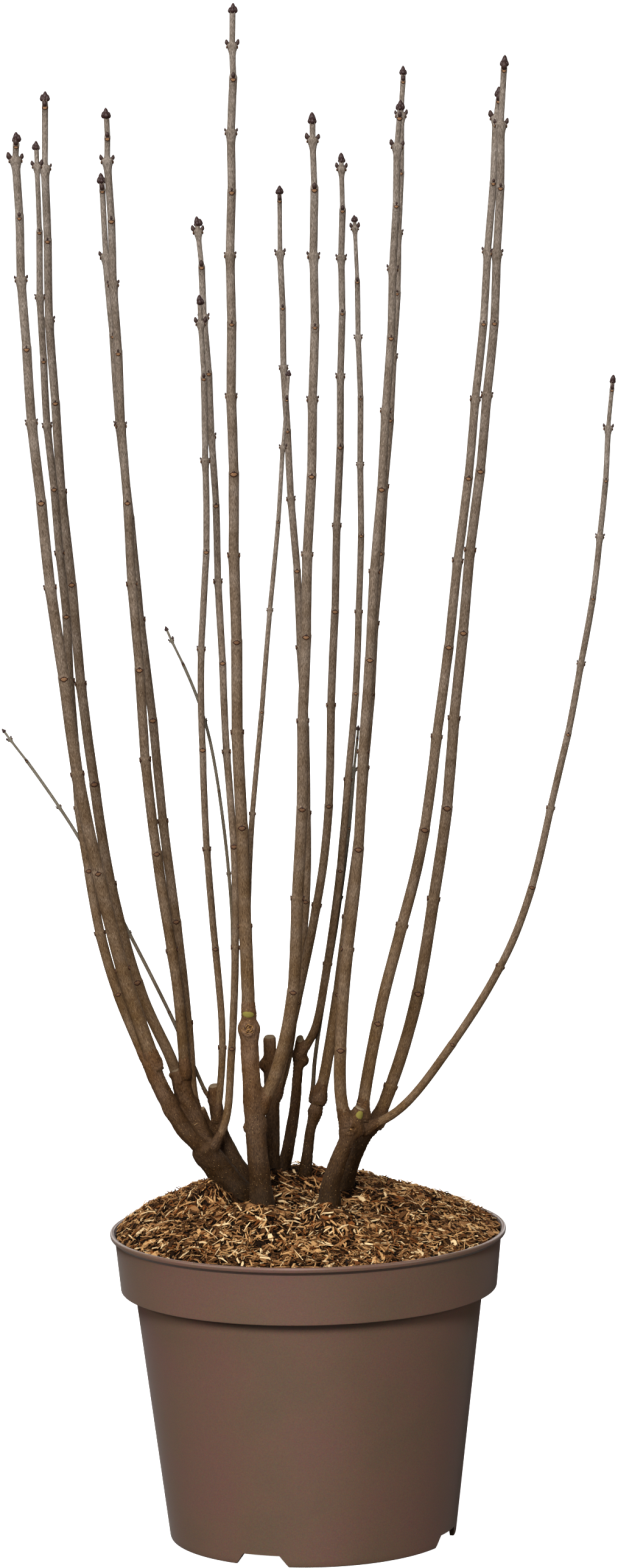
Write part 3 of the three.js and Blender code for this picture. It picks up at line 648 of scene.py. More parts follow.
def shoot_radius(shoot, pairs, distance, angle, length):
    """Taper x (1 + base collar) x node swelling, plus the shelves. Below a pair the swelling
    grows as e to the distance over 8 mm; above it the shoot falls back to its waist within a
    millimetre and recovers over 15. A shelf reaches towards its bud as the cosine squared. Past
    the second pair from its tip, which is the last weeks' growth, the shoot is narrower."""
    foot, tip = shoot["diameters"]
    radius = (foot + (tip - foot) * np.clip(distance / length, 0, 1)) / 2 + 0 * angle
    radius = radius * (1 + shoot.get("collar", 0.3) * np.exp(-(np.maximum(distance, 0) / 7) ** 2))
    past_second = distance - (length - shoot["pairs"][1]) - 1.5
    radius = radius * (1 - NODE["last_narrowing"] * step_down(-past_second, 0.5))
    factor, shelf = 1.0, 0.0
    for pair in pairs:
        above = (distance - pair.distance) / pair.slim
        step = step_down(above - 0.9, 0.3)
        below = np.exp(np.minimum(above, 0) / 8) * step
        waist = (1 - NODE["waist"]) * np.exp(-np.maximum(above, 0) / 15) * (1 - step)
        factor = factor + (NODE["swelling"] - 1) * below - waist
        facing = np.cos(angle - pair.quarter * np.pi / 2) ** 2
        reach = np.interp(length - pair.distance, *SHELF) * pair.slim
        shelf = shelf + reach * np.exp(-(np.minimum(above, 0) / 4.5) ** 2) * step * facing
    return radius * factor + shelf


pairs_of = {name: bud_pairs(shoot, paths[name].length) for name, shoot in SHOOTS.items()}
print("pairs of buds:", sum(len(pairs) for pairs in pairs_of.values()))

# %% [markdown]
# A shoot never runs quite straight from one pair to the next either, but turns a little at every
# one, left, right, left. The rows of the grid are close together at the nodes, where the radius
# jumps, and far apart between them, so that the triangles are where the shape is.

# %% Skins of the young shoots
TIP_LENGTH = 8.5          # mm from the foot of the tip bud to its point, on a shoot of slimness 1
ROWS_AT_NODE = np.array([-14, -10, -7, -5, -3.4, -2, -1, -0.2, 0.4, 0.8, 1.2, 1.7, 2.5, 4, 7])


def shoot_rows(pairs, length, spacing=5):
    """Distances of the rows: an even spacing in mm, with a node's own rows put in at each pair.
    The last is inside the tip bud, and rows closer than 0.2 mm to the one before are left out."""
    slim = pairs[0].slim
    end = length - 0.72 * TIP_LENGTH * slim
    even = np.arange(-2, end, spacing)
    at = np.array([pair.distance for pair in pairs])
    near = (at[:, None] + ROWS_AT_NODE * slim).ravel()
    to_node = np.abs(even[:, None] - at).min(axis=1)
    rows = np.sort(np.concatenate([even[to_node > 7 * slim], near, [end]]))
    rows = rows[(rows <= end) & (rows > -3)]
    return rows[np.concatenate([[True], np.diff(rows) > 0.2])]


def sideways(pairs, distance):
    """Zig-zag to the right: one way at every other pair and the other way at the rest."""
    turning = sorted(pairs, key=lambda pair: pair.distance)
    at = [pair.distance for pair in turning]
    out = [(1 if pair.quarter else -1) * NODE["kink"] * pair.slim for pair in turning]
    return np.interp(distance, [0, *at], [0, *out])


def bark_coordinates(distance, angle, radius, offset):
    """Where a point of the bark lies in its pattern, in metres: radius times cosine and sine, and
    the distance along the limb, plus an offset so that no two limbs wear the same part of it."""
    return np.stack([radius * np.cos(angle), radius * np.sin(angle),
                     distance + 0 * angle + offset], -1) * MM


def shoot_skin(name, columns=16):
    """Grid of a shoot, its bark coordinates, and its share of the whole length. The radius gets
    slow waves all along, and short ones over the lowest 60 mm, where the bark is oldest."""
    shoot, path, pairs = SHOOTS[name], paths[name], pairs_of[name]
    seed = 100 + list(SHOOTS).index(name)
    rows = shoot_rows(pairs, path.length)
    distance, angle = rows[:, None], np.linspace(0, 2 * np.pi, columns, endpoint=False)[None]
    radius = shoot_radius(shoot, pairs, distance, angle, path.length)
    oldest = np.clip(1 - distance / 60, 0, 1)
    radius = radius * (1 + 0.012 * waves(distance, angle, seed, 6, (1, 3), (20, 90)))
    radius = radius * (1 + 0.03 * oldest * waves(distance, angle, seed + 40, 6, (2, 6), (4, 15)))
    grid = tube_grid(path, rows, angle, radius, sideways(pairs, rows))
    grain = bark_coordinates(distance, angle, radius, 900 * seed)
    return grid[None], grain[None], (distance / path.length + 0 * angle)[None]


shoots = {}
for name in SHOOTS:
    grid, grain, share = shoot_skin(name)
    shoots[name] = closed_surfaces("bark_" + name, grid, {"grain": grain, "share": share})
print("faces on the shoots:", sum(len(piece.data.polygons) for piece in shoots.values()))

# %% [markdown]
# ## The old wood
#
# Where a shoot springs from a stem, the two grow into one: a fillet in the fork, and a swollen,
# wrinkled collar round the shoot's foot. Tubes that only run into each other would show a hard
# seam there. So the stems are built as tubes first, together with a short collar for the foot of
# every shoot. A voxel remesh then makes one skin of them all, which is smoothed like wet clay.

# %% One skin over the stems and the shoots' collars
ROWS, COLUMNS = 150, 44
COLLAR_LENGTH = 17        # mm
BURIED = 16               # mm of a standing stem that go on down under the chips


def stem_tube(name):
    """Taper, lumps and a slow unevenness; the end turns in over a rounded edge, which is tight
    on a cut stem. The last three rows lie short of the end by some mm, with their radius shrunk
    to some shares, and come after the rows that stop before the end."""
    stem, path = STEMS[name], paths[name]
    start = -BURIED if "standing" in stem else -1
    end = path.length - (0 if name in CUT else 0.6)
    short, shrunk, before = (([0.6, 0.15, 0], [0.985, 0.93, 0.84], 1.4) if name in CUT
                             else ([1.8, 0.7, 0], [0.93, 0.74, 0.45], 3.4))
    distance = np.concatenate([np.linspace(start, end - before, ROWS - 3, endpoint=False),
                               end - np.array(short)])[:, None]
    closing = np.ones((ROWS, 1))
    closing[-3:, 0] = shrunk
    angle = np.linspace(0, 2 * np.pi, COLUMNS, endpoint=False)[None]
    radius = stem_radius(stem, distance, path.length) + 0 * angle
    seed = list(STEMS).index(name)
    skin = radius * (1 + 0.03 * waves(distance, angle, seed, 7, (1, 4), (14, 45)))
    for share, facing, height, size in LUMPS.get(name, []):
        skin = skin + bump(distance, angle, radius, share * path.length, facing, height, size)
    grid = tube_grid(path, distance[:, 0], angle, skin * closing)
    if name in CUT:
        near_end = np.clip(1 + (distance - end) / 6, 0, 1)
        grid = grid + slant(name, angle, closing * near_end)[..., None] * path.along[-1]
    return grid


def collar_radius(name, distance, angle):
    """The shoot's own radius, an eighth wider just above its foot and under it at the top, where
    the shoot's own skin takes over."""
    shoot, path = SHOOTS[name], paths[name]
    own = shoot_radius(shoot, [], distance, angle, path.length)
    return own * np.interp(distance, [-6, 0, 6, 12, COLLAR_LENGTH], [0.8, 1.1, 1.13, 1.06, 0.86])


def collar_tube(name):
    """A short tube round a shoot's foot that starts inside the stem."""
    distance = np.linspace(-3, COLLAR_LENGTH, ROWS)[:, None]
    angle = np.linspace(0, 2 * np.pi, COLUMNS, endpoint=False)[None]
    radius = collar_radius(name, distance, angle)
    radius = radius * (1 + 0.04 * waves(distance, angle, 300 + len(name), 5, (1, 4), (8, 20)))
    closing = np.sqrt(np.clip(1 - ((0.5 - distance) / 4.5).clip(0) ** 2, 0, 1))
    return tube_grid(paths[name], distance[:, 0], angle, radius * closing)


old_wood = closed_surfaces("old_wood", np.stack(
    [stem_tube(name) for name in STEMS] + [collar_tube(name) for name in SHOOTS]))
skin = old_wood.modifiers.new("one skin", "REMESH")
skin.mode, skin.voxel_size, skin.adaptivity = "VOXEL", 0.8 * MM, 0.0
clay = old_wood.modifiers.new("like clay", "SMOOTH")
clay.factor, clay.iterations = 0.5, 7
apply_modifiers(old_wood)
print("points in the skin of the old wood:", len(old_wood.data.vertices))

# %% [markdown]
# The remesh has forgotten which limb a point belongs to. It is found again from the paths: the
# limb whose skin is nearest, how far along it the point is and at what angle. Bark needs both,
# because its folds and its streaks follow the limb and not the room's axes.

# %% Which limb a point belongs to
def nearest_limbs(points, margin=16):
    """For each point the limb with the least (distance to its path minus its radius), with the
    distance along that limb, the angle round it and the radius there. Only points within a
    margin in mm of a limb's box are looked at."""
    gap = np.full(len(points), np.inf)
    owner, along_it, round_it, radius_there = (np.zeros(len(points)) for _ in range(4))
    limbs = [(name, np.arange(-float(BURIED), paths[name].length + 1)) for name in STEMS]
    limbs += [(name, np.arange(-2.0, COLLAR_LENGTH)) for name in SHOOTS]
    for number, (name, at) in enumerate(limbs):
        path = paths[name]
        centre, heading, right, back = frames_at(path, at)
        radius = (stem_radius(STEMS[name], at, path.length) if name in STEMS
                  else collar_radius(name, at, 0.0))
        low, high = centre.min(0) - margin, centre.max(0) + margin
        near = np.flatnonzero(((points > low) & (points < high)).all(1))
        offset = points[near, None] - centre[None]
        closest = np.argmin((offset ** 2).sum(-1) - radius ** 2, axis=1)
        offset = offset[np.arange(len(near)), closest]
        x, y = ((offset * side[closest]).sum(-1) for side in (right, back))
        here = np.hypot(x, y) - radius[closest]
        better = here < gap[near]
        place = near[better]
        gap[place], owner[place] = here[better], number
        along_it[place], radius_there[place] = at[closest][better], radius[closest][better]
        round_it[place] = np.arctan2(y, x)[better]
        between_steps = (offset * heading[closest]).sum(-1)
        along_it[place] += between_steps[better]
    return owner.astype(int), along_it, round_it, radius_there


def read_vectors(layer, field):
    """All vectors of a mesh layer, as points x 3."""
    values = np.empty(len(layer) * 3, np.float32)
    layer.foreach_get(field, values)
    return values.reshape(-1, 3)


points = read_vectors(old_wood.data.vertices, "co") / MM
normals = read_vectors(old_wood.data.vertices, "normal")
owner, distance, angle, radius = nearest_limbs(points)
print("limbs found again in the skin:", len(np.unique(owner)))

# %% [markdown]
# Every point now moves along its own normal by the folds of the bark, by the wrinkles of the
# collars, which go round the foot of a shoot and fade upwards, and by the healed wounds. Then it
# gets its bark coordinates, for the streaks and warts of the finish.

# %% Relief and bark coordinates of the old wood
def old_relief(number, distance, angle, radius):
    """Folds that run along the limb, finer unevenness, wrinkles round a collar, wounds."""
    relief = 0.10 * waves(distance, angle, number + 50, 9, (4, 11), (25, 90))
    relief = relief + 0.07 * waves(distance, angle, number + 90, 12, (4, 13), (3, 8))
    if number >= len(STEMS):
        fade = np.clip(1 - distance / COLLAR_LENGTH, 0, 1)
        wrinkles = np.sin(2 * np.pi * distance / 2.3 + np.sin(3 * angle + number))
        return relief + 0.16 * fade * wrinkles
    name = list(STEMS)[number]
    if name in WOUNDS:
        share, facing, size = WOUNDS[name]
        relief = relief + callus(distance, angle, radius, share * paths[name].length, facing, size)
    return relief


relief = np.zeros(len(points))
for number in np.unique(owner):
    own = owner == number
    relief[own] = old_relief(number, distance[own], angle[own], radius[own])
points = points + normals * relief[:, None]
old_wood.data.vertices.foreach_set("co", (points * MM).astype(np.float32).ravel())
grain = bark_coordinates(distance, angle, radius, 200 * owner)
layer = old_wood.data.attributes.new("grain", "FLOAT_VECTOR", "POINT")
layer.data.foreach_set("vector", grain.astype(np.float32).ravel())
# near the chips the old bark's low tones come in: partly damp bark, partly painted shade
share = np.clip((points[:, 2] - 244) / 110, 0, 1)       # 0 at the chips, 1 at 110 mm above them
layer = old_wood.data.attributes.new("share", "FLOAT", "POINT")
layer.data.foreach_set("value", share.astype(np.float32))
old_wood.data.shade_smooth()
old_wood.data.update()
print("relief of the old wood from", round(relief.min(), 2), "to", round(relief.max(), 2), "mm")

# %% [markdown]
# ## Buds
#
# A winter bud is a packed shoot inside dark scales. On the side of a stem it leans out and then
# hooks up along it; at the tip it stands straight and plump, often with a pair at its base. One
# bud is modelled in its own space, as a body that is widest a third of the way up and comes to a
# point, and then hundreds are placed at once: the grid of one times the directions of each.

# %% One bud, and a way to place many
def bud_body():
    """Places, angles and radius of a bud of length 1 and width 2: 0.75 to 1 up to a third, then
    falling as (1 - x to the power 2.4) to the power 0.8. The lower pair of scales makes it wider
    one way, and the upper pair the other way."""
    along = np.array([0, 0.08, 0.2, 0.34, 0.48, 0.62, 0.76, 0.88, 0.97])[:, None]
    angle = np.linspace(0, 2 * np.pi, 10, endpoint=False)[None]
    swell = 0.75 + 0.25 * np.sin(np.pi / 2 * np.minimum(1, along / 0.34))
    taper = (1 - np.clip((along - 0.34) / 0.66, 0, 1) ** 2.4) ** 0.8
    flat = 0.08 * np.cos(2 * angle)
    return along, angle, swell * taper * (1 + flat * (along < 0.4) - flat * (along > 0.55))


def place_buds(base, along, outward, across, size, plump, hook):
    """Buds at base points. Each runs out by hook times its length, as the square root of how far
    up it is, and up the stem for the rest: base + size (along u + outward hook sqrt(u) + body).
    plump is the half width as a share of the length."""
    up, angle, radius = (part[None, ..., None] for part in bud_body())
    base, along, outward, across = (part[:, None, None] for part in (base, along, outward, across))
    spine = along * up + outward * (hook * np.sqrt(up))
    body = (outward * np.cos(angle) + across * np.sin(angle)) * radius
    body = body * np.reshape(plump, (-1, 1, 1, 1))
    return base + size[:, None, None, None] * (spine + body)


print("rows and columns of a bud:", bud_body()[2].shape)

# %% [markdown]
# A side bud sits in the corner between the shelf and the shoot. Lilac buds are fat in the top
# pairs, which open first, and get smaller down the shoot to mere points that never open. So
# the length of a bud depends on how far it is from the tip, with some chance on top.

# %% Side buds
def bud_sites(name):
    """For both buds of every pair: the shoot's middle and directions there, the radius at the
    bud and at the scar under it, slimness, distance up the shoot and the shoot's length."""
    shoot, path = SHOOTS[name], paths[name]
    for pair in pairs_of[name]:
        centre, along, right, back = frames_at(path, np.array(pair.distance))
        centre = centre + right * sideways(pairs_of[name], pair.distance)
        for side in (0, 1):
            angle = np.array((pair.quarter + 2 * side) * np.pi / 2)
            outward = right * np.cos(angle) + back * np.sin(angle)
            edges = (shoot_radius(shoot, [pair], np.array(pair.distance - below * pair.slim),
                                  angle, path.length) for below in (0, 1.2))
            yield centre, along, outward, *edges, pair.slim, pair.distance, path.length


BUD_LENGTHS = ([15, 45, 70, 250, 800], [5.6, 4.6, 2.8, 2.0, 1.5])   # mm from the tip, mm long
sites = zip(*(site for name in SHOOTS for site in bud_sites(name)))
centre, along, outward, edge, scar_edge, slim, up_to, whole = (
    np.array(column, float) for column in sites)
across = np.cross(along, outward)
from_tip = whole - up_to
draw = np.random.default_rng(11)
bud_size = slim * np.interp(from_tip, *BUD_LENGTHS) * draw.uniform(0.75, 1.15, len(slim))
bud_base = (centre + outward * (edge - 0.3 * bud_size)[:, None]
            - along * (0.1 * bud_size)[:, None])
side_buds = closed_surfaces("side_buds", place_buds(
    bud_base, along, outward, across, bud_size, draw.uniform(0.31, 0.38, len(slim)), 0.36))
print("side buds:", len(slim))

# %% [markdown]
# The tip of a shoot ends in one fat bud, with lower scales that have opened a little round its
# base. All are the same body again: the middle one longer, the four round it short and leaning
# away from it.

# %% Tip buds
def vary(low, high):
    """One random number for each shoot."""
    return draw.uniform(low, high, len(SHOOTS))


tip_slim = np.array([pairs_of[name][0].slim for name in SHOOTS])
tip_base, tip_along, tip_right, tip_back = (np.array(part) for part in zip(*(
    frames_at(paths[name], np.array(paths[name].length - TIP_LENGTH * slimness))
    for name, slimness in zip(SHOOTS, tip_slim))))
tip_base = tip_base + tip_right * np.array([
    sideways(pairs_of[name], paths[name].length) for name in SHOOTS])[:, None]
draw = np.random.default_rng(23)
middle = place_buds(tip_base + tip_along * tip_slim[:, None] * 1.2, tip_along,
                    tip_right * draw.choice([-1, 1], (len(SHOOTS), 1)), tip_back,
                    7.0 * tip_slim * vary(0.84, 1.0), vary(0.29, 0.36), 0.05)
# which way each outer scale lies, the way across it, its length in mm and its lean
around = [(tip_right, tip_back, 4.9, 0.16), (-tip_right, -tip_back, 4.6, 0.16),
          (tip_back, -tip_right, 4.2, 0.2), (-tip_back, tip_right, 3.9, 0.24)]
outer = [place_buds(tip_base + side * tip_slim[:, None] * 1.1, tip_along, side, beside,
                    size * tip_slim * vary(0.75, 1.2), vary(0.32, 0.42), lean)
         for side, beside, size, lean in around]
tip_buds = closed_surfaces("tip_buds", np.concatenate([middle, *outer]))
print("tip buds:", len(SHOOTS), "with their outer scales:", len(SHOOTS) * (1 + len(around)))

# %% [markdown]
# ## Leaf scars
#
# Under each bud is the mark of the leaf that fell: bare cork, a warm tan, with a dark rim where
# it tore. High up it is a crescent under the bud, with its horns up. Lower down, where the buds
# never grew, it is left as an eye with pointed corners, five millimetres wide. Rim and cork are
# two lenses, one on the other, and the fresh cork and the weathered are two pieces.

# %% Leaf scars and their rims
def lenses(centre, along, outward, across, edge, half_width, half_height, bulge=0.5,
           horns=0.0, pointed=0.0):
    """across is x, along is y less pointed times the cosine squared, plus horns times x squared;
    outward is the skin's own curve, edge - x squared / (2.2 edge), plus bulge, in mm, times a
    thickness that ends at the rim."""
    turn = np.linspace(0, 2 * np.pi, 16, endpoint=False)[None, None]
    size = np.array([0.25, 0.6, 0.85, 1.0, 1.0, 0.85])[None, :, None]
    lift = np.array([1.0, 0.85, 0.5, 0.0, -1.2, -2.0])[None, :, None]
    edge, half_width, half_height, horns, pointed = (
        np.reshape(value, (-1, 1, 1)) for value in (edge, half_width, half_height, horns, pointed))
    x = size * np.cos(turn) * half_width
    y = size * np.sin(turn) * half_height * (1 - pointed * np.cos(turn) ** 2)
    y = y + horns * half_height * (x / half_width) ** 2
    out = edge - x ** 2 / (2.2 * edge) + lift * bulge
    return (centre[:, None, None] + across[:, None, None] * x[..., None]
            + along[:, None, None] * y[..., None] + outward[:, None, None] * out[..., None])


is_low = np.clip((from_tip - 180) / 160, 0, 1)     # 0 near the tip, 1 where the eyes are
scar_at = centre - along * (slim * (1.7 - 0.9 * is_low))[:, None]
width = slim * (1.75 + 0.75 * is_low) * draw.uniform(0.85, 1.15, len(slim))
shape = dict(horns=0.4 * (1 - is_low), pointed=0.25 + 0.45 * is_low)
where = (scar_at, along, outward, across)
rims = lenses(*where, scar_edge, width * 1.12, width * 0.74, 0.18, **shape)
corks = lenses(*where, scar_edge + 0.06, width * 0.9, width * 0.54, 0.36, **shape)
is_fresh = up_to > 0.42 * whole                    # in the upper three fifths of a shoot
scar_rims = closed_surfaces("leaf_scar_rims", rims)
fresh_scars = closed_surfaces("leaf_scars_fresh", corks[is_fresh])
weathered_scars = closed_surfaces("leaf_scars_weathered", corks[~is_fresh])
print("leaf scars, fresh and weathered:", is_fresh.sum(), (~is_fresh).sum())

# %% [markdown]
# ## Cut wood
#
# Where a stem was cut back, its end is dry end grain, paler than the bark round it. Old
# cuts on the side of a stem heal to an oval, and two of them are green with moss. On the front
# stem is a knot where bark tore, a ring of small ridges round bare wood. The ends are thin
# discs, and ovals and ridges the same lens as a leaf scar, without horns or points.

# %% Cut ends, healed ovals and torn bark
def end_disc(name):
    """A disc in the end of a cut stem: sizes and heights from its underside to its top."""
    path = paths[name]
    size = np.array([0.3, 0.76, 0.8, 0.76, 0.5, 0.2])[:, None]
    height = np.array([-1.2, -1.2, 0.2, 0.66, 0.72, 0.74])[:, None]
    turn = np.linspace(0, 2 * np.pi, 24, endpoint=False)[None]
    radius = stem_radius(STEMS[name], path.length, path.length) * size
    radius = radius * (1 + 0.04 * np.cos(3 * turn + len(name)) + 0.03 * np.cos(2 * turn))
    height = height + slant(name, turn, size)
    centre, _, right, back = frames_at(path, path.length + height)
    outward = right * np.cos(turn)[..., None] + back * np.sin(turn)[..., None]
    return centre + radius[..., None] * outward


def healed_oval(name, share, facing, half_width, half_height, raised=0.35, turned=0.0):
    """A lens on the side of a stem, at a share of its length and facing some way round it, with
    its own two axes turned in the skin: along cos t + across sin t, across cos t - along sin t."""
    at = np.array(share * paths[name].length)
    centre, along, right, back = frames_at(paths[name], at)
    angle = np.radians(facing)
    outward = right * np.cos(angle) + back * np.sin(angle)
    across = np.cross(along, outward)
    edge = stem_radius(STEMS[name], at, paths[name].length) + raised
    along, across = (along * np.cos(turned) + across * np.sin(turned),
                     across * np.cos(turned) - along * np.sin(turned))
    return lenses(centre[None], along[None], outward[None], across[None],
                  edge, half_width, half_height, 0.7)[0]


KNOT_RIDGES = [                # degrees round the knot, share of the ring's size, half width in mm
    (20, 1.0, 1.5), (62, 0.9, 1.3), (105, 1.05, 1.9), (150, 0.9, 1.2), (185, 1.15, 1.5),
    (228, 0.95, 1.7), (275, 1.0, 2.0), (322, 0.9, 1.4), (350, 1.35, 1.2),
    (80, 0.45, 1.1), (215, 0.5, 1.3), (310, 0.45, 0.9)]
KNOT_RING = dict(half_height=3.0, stem_length=136, half_width=28)     # mm, mm, degrees


def torn_ridge(turn, ring, half_width):
    """A lens that lies along the ring round the knot, with its height, lift and turn at random."""
    share, facing, _ = WOUNDS["front_stem"]
    turn = np.radians(turn)
    up = ring * KNOT_RING["half_height"] / KNOT_RING["stem_length"] * np.sin(turn)
    aside = ring * KNOT_RING["half_width"] * np.cos(turn)
    return healed_oval("front_stem", share + up, facing - aside, half_width,
                       draw.uniform(0.25, 0.5), draw.uniform(0.1, 0.6),
                       turn + np.pi / 2 + draw.normal(0, 0.3))


draw = np.random.default_rng(61)
cut_ends = closed_surfaces("cut_ends", np.stack([end_disc(name) for name in sorted(CUT)]))
mossy_ovals = closed_surfaces("mossy_cuts", np.stack([
    healed_oval("right_stem", 0.93, 285, 2.6, 3.8, 0.2),
    healed_oval("front_stem", 1.01, 268, 4.2, 2.3, 0.6, 0.15)]))
wound_wood = closed_surfaces("wound_wood", np.stack([
    healed_oval("front_stem", *WOUNDS["front_stem"][:2], 1.5, 0.9, -0.6),
    healed_oval("right_stem", *WOUNDS["right_stem"][:2], 1.8, 0.7, -0.4),
    *(torn_ridge(*ridge) for ridge in KNOT_RIDGES)]))
print("cut ends:", len(CUT), "healed ovals: 2 mossy and 2 bare, with ridges:", len(KNOT_RIDGES))

# %% [markdown]
# ## The bed of chips
#
# The pot is topped with shredded wood. What shows is a heap: splinters a few millimetres long
# lying every way on each other, some flat chips, and fine crumbs in the dark between them. The
# ground of it is one closed mound, a little lower than the CAD model's, in a dark crumb colour
# that is also painted shade for the gaps between the chips.

# %% The mound under the chips
MULCH_EDGE = 136.0
BELOW_CHIPS = 4.6         # mm from the height of the chips down to the ground under them
HOLLOWS = [               # x, y, size and depth in mm, most of them between the stems
    (-49, -20, 8, 9), (-43, 2, 8, 6), (-20, -18, 7, 4), (22, -14, 11, 7), (9, 22, 12, 6),
    (62, 64, 27, 4.6), (-84, 56, 24, 3.6)]
HEAPS = [                 # x, y, size and height in mm, against the stems
    (-33, -49, 22, 11), (15, -49, 21, 11), (-73, -8, 15, 9), (-63, -17, 12, 9), (-22, 37, 12, 6)]


def mound_height(x, y):
    """The CAD mound: edge height, plus a crown times one minus distance to the power 3.4, plus
    slow waves that die out at the edge."""
    outward = np.minimum(1, np.hypot(x, y) / MULCH_EDGE)
    crown = 23.5 * (1 + 0.005 * y - 0.003 * x) * (1 - outward ** 3.4)
    wave = np.sin(x / 8.5 + 1.7) * np.sin(y / 8.5 + 0.4) + np.sin((x + y) / 13.6 + 2.9)
    return 221.5 + 0.03 * y + crown + 1.3 * wave * (1 - outward ** 4)


def bumps(x, y, places):
    """Sum over the places of height times e to minus the square of distance over size."""
    return sum(height * np.exp(-((x - at_x) ** 2 + (y - at_y) ** 2) / size ** 2)
               for at_x, at_y, size, height in places)


def chip_height(x, y):
    """The mound less its hollows and with the heaps against the stems."""
    return mound_height(x, y) - bumps(x, y, HOLLOWS) + bumps(x, y, HEAPS)


# radius and height of the underside's rings, from the middle out, and then up the pot's wall
underside = np.array([*((away, 187) for away in np.linspace(8, 131, 5)),
                      (131.2, 187.5), (135.2, 214)])
reach = np.concatenate([underside[:, 0], np.linspace(135.8, 3, 60)])[:, None]
turn = np.linspace(0, 2 * np.pi, 150, endpoint=False)[None]
bed_x, bed_y = reach * np.cos(turn), reach * np.sin(turn)
bed_z = chip_height(bed_x, bed_y) - BELOW_CHIPS
bed_z[:len(underside)] = underside[:, 1:]
chip_bed = closed_surfaces("chip_bed", np.stack([bed_x, bed_y, bed_z], -1)[None])
print("highest point of the bed in mm:", round(bed_z.max()))

# %% [markdown]
# ## The compost
#
# Under the chips the pot is full of compost, bark rotted until it crumbles. It only shows when
# the chips or the pot are hidden, so one turned block is enough, a hair clear of the wall and
# the floor.

# %% The compost in the pot
clear = POT["wall"] + 0.4
mix_floor, mix_top = POT["floor"] + POT["floor_thickness"] + 0.3, 186.6
compost = closed_surfaces("compost", turned(np.array([
    (2, mix_floor), (body_radius(mix_floor) - clear, mix_floor), (body_radius(180) - clear, 180.8),
    (126, 181.4), (130.6, 185.7), (130.6, mix_top), (2, mix_top)]), 96))
print("depth of the compost in mm:", round(mix_top - mix_floor))

# %% [markdown]
# ## The chips
#
# A splinter is a bar of three sections that tapers to ragged ends and bends a little. It is laid
# on the mound with its own heading and tilt. Thousands are made in one stack, one mesh to a
# colour, with the dark ones lower in the heap than the pale ones: what lies in the gaps is damp,
# and the darker colours there are also painted shade.

# %% Laying things on the mound
WALL_INSIDE = ([186, 211, 217], [131.1, 134.0, 136.4])      # heights, and radii there, in mm


def laid_on_mound(local, x, y, lift, draw, tilt):
    """Turns local points to a heading, tilts them by some degrees off the mound's own slope, and
    sets them at x, y and the mound's height plus lift. What would go through the pot's wall is
    moved in to it."""
    count = len(x)
    step = 1.0
    slope_x = (chip_height(x + step, y) - chip_height(x - step, y)) / (2 * step)
    slope_y = (chip_height(x, y + step) - chip_height(x, y - step)) / (2 * step)
    heading = draw.uniform(0, 2 * np.pi, count)
    rise = np.radians(draw.normal(0, tilt, count))
    run = np.stack([np.cos(heading), np.sin(heading)], -1)
    climb = np.tan(rise) + slope_x * run[:, 0] + slope_y * run[:, 1]
    forward = np.stack([run[:, 0], run[:, 1], climb], -1)
    forward /= np.linalg.norm(forward, axis=1, keepdims=True)
    normal = np.stack([-slope_x, -slope_y, np.ones(count)], -1)
    normal = normal + draw.normal(0, 0.22, (count, 3))
    side = np.cross(normal, forward)
    side /= np.linalg.norm(side, axis=1, keepdims=True)
    up = np.cross(forward, side)
    axes = np.stack([forward, side, up], 1)
    base = np.stack([x, y, chip_height(x, y) + lift], -1)
    points = np.einsum("nrci,nij->nrcj", local, axes) + base[:, None, None]
    away = np.hypot(points[..., 0], points[..., 1])
    wall = np.interp(points[..., 2], *WALL_INSIDE)
    points[..., :2] *= np.minimum(1, wall / away)[..., None]
    return points


print("height of the chips in the middle in mm:", round(chip_height(0, 0)))

# %% [markdown]
# A shredder tears wood along its fibres, so a piece is long, has ragged ends that narrow, and
# curls as it dries. One block of three sections says all of that with twelve points, few enough
# for thousands of pieces to be cheap.

# %% Splinters, and where they fall
def splinters(draw, length, width, thickness):
    """Bars of three rectangular sections: the ends narrower by random shares, the middle raised
    for a curl. length, width and thickness are one value for each bar."""
    count = len(length)
    share = np.array([-0.5, 0.0, 0.5])[None, :, None] + draw.uniform(-0.08, 0.08, (count, 3, 1))
    corner_y = np.array([1, -1, -1, 1]) / 2
    corner_z = np.array([1, 1, -1, -1]) / 2
    narrow = draw.uniform(0.25, 0.9, (count, 3, 1)) * [[1], [0], [1]] + [[0], [1], [0]]
    ragged = draw.uniform(-0.10, 0.10, (count, 3, 4))
    x = (share + ragged) * length[:, None, None]
    bend = draw.normal(0, 0.06, (count, 3, 1)) * length[:, None, None]
    y = corner_y * width[:, None, None] * narrow + bend
    curl = draw.uniform(-0.05, 0.09, (count, 1, 1)) * [[0], [1], [0]] * length[:, None, None]
    z = corner_z * thickness[:, None, None] * np.sqrt(narrow) + curl
    return np.stack([x, y, z + 0 * x], -1)


def scattered(draw, count, in_shade, reach=135.5):
    """Places spread evenly over the disc, kept clear of the stems' feet, which are taken as a
    quarter wider than they are. Close round them mostly what is dark stays, as painted shade at
    the feet: the chance to drop out is 0.85 times e to minus the square of the clearance over 9
    mm."""
    away = reach * np.sqrt(draw.uniform(0, 1, count))
    turn = draw.uniform(0, 2 * np.pi, count)
    x, y = away * np.cos(turn), away * np.sin(turn)
    foot_x, foot_y, foot_radius = np.array([
        (*stem["foot"][:2], stem["diameters"][0] * 0.62)
        for stem in STEMS.values() if "standing" in stem]).T
    to_feet = np.hypot(x[:, None] - foot_x, y[:, None] - foot_y) - foot_radius
    clearance = to_feet.min(axis=1)
    drops = draw.uniform(0, 1, count) < 0.85 * np.exp(-(clearance / 9) ** 2)
    stays = (clearance > 0) & (in_shade | ~drops)
    return x[stays], y[stays]


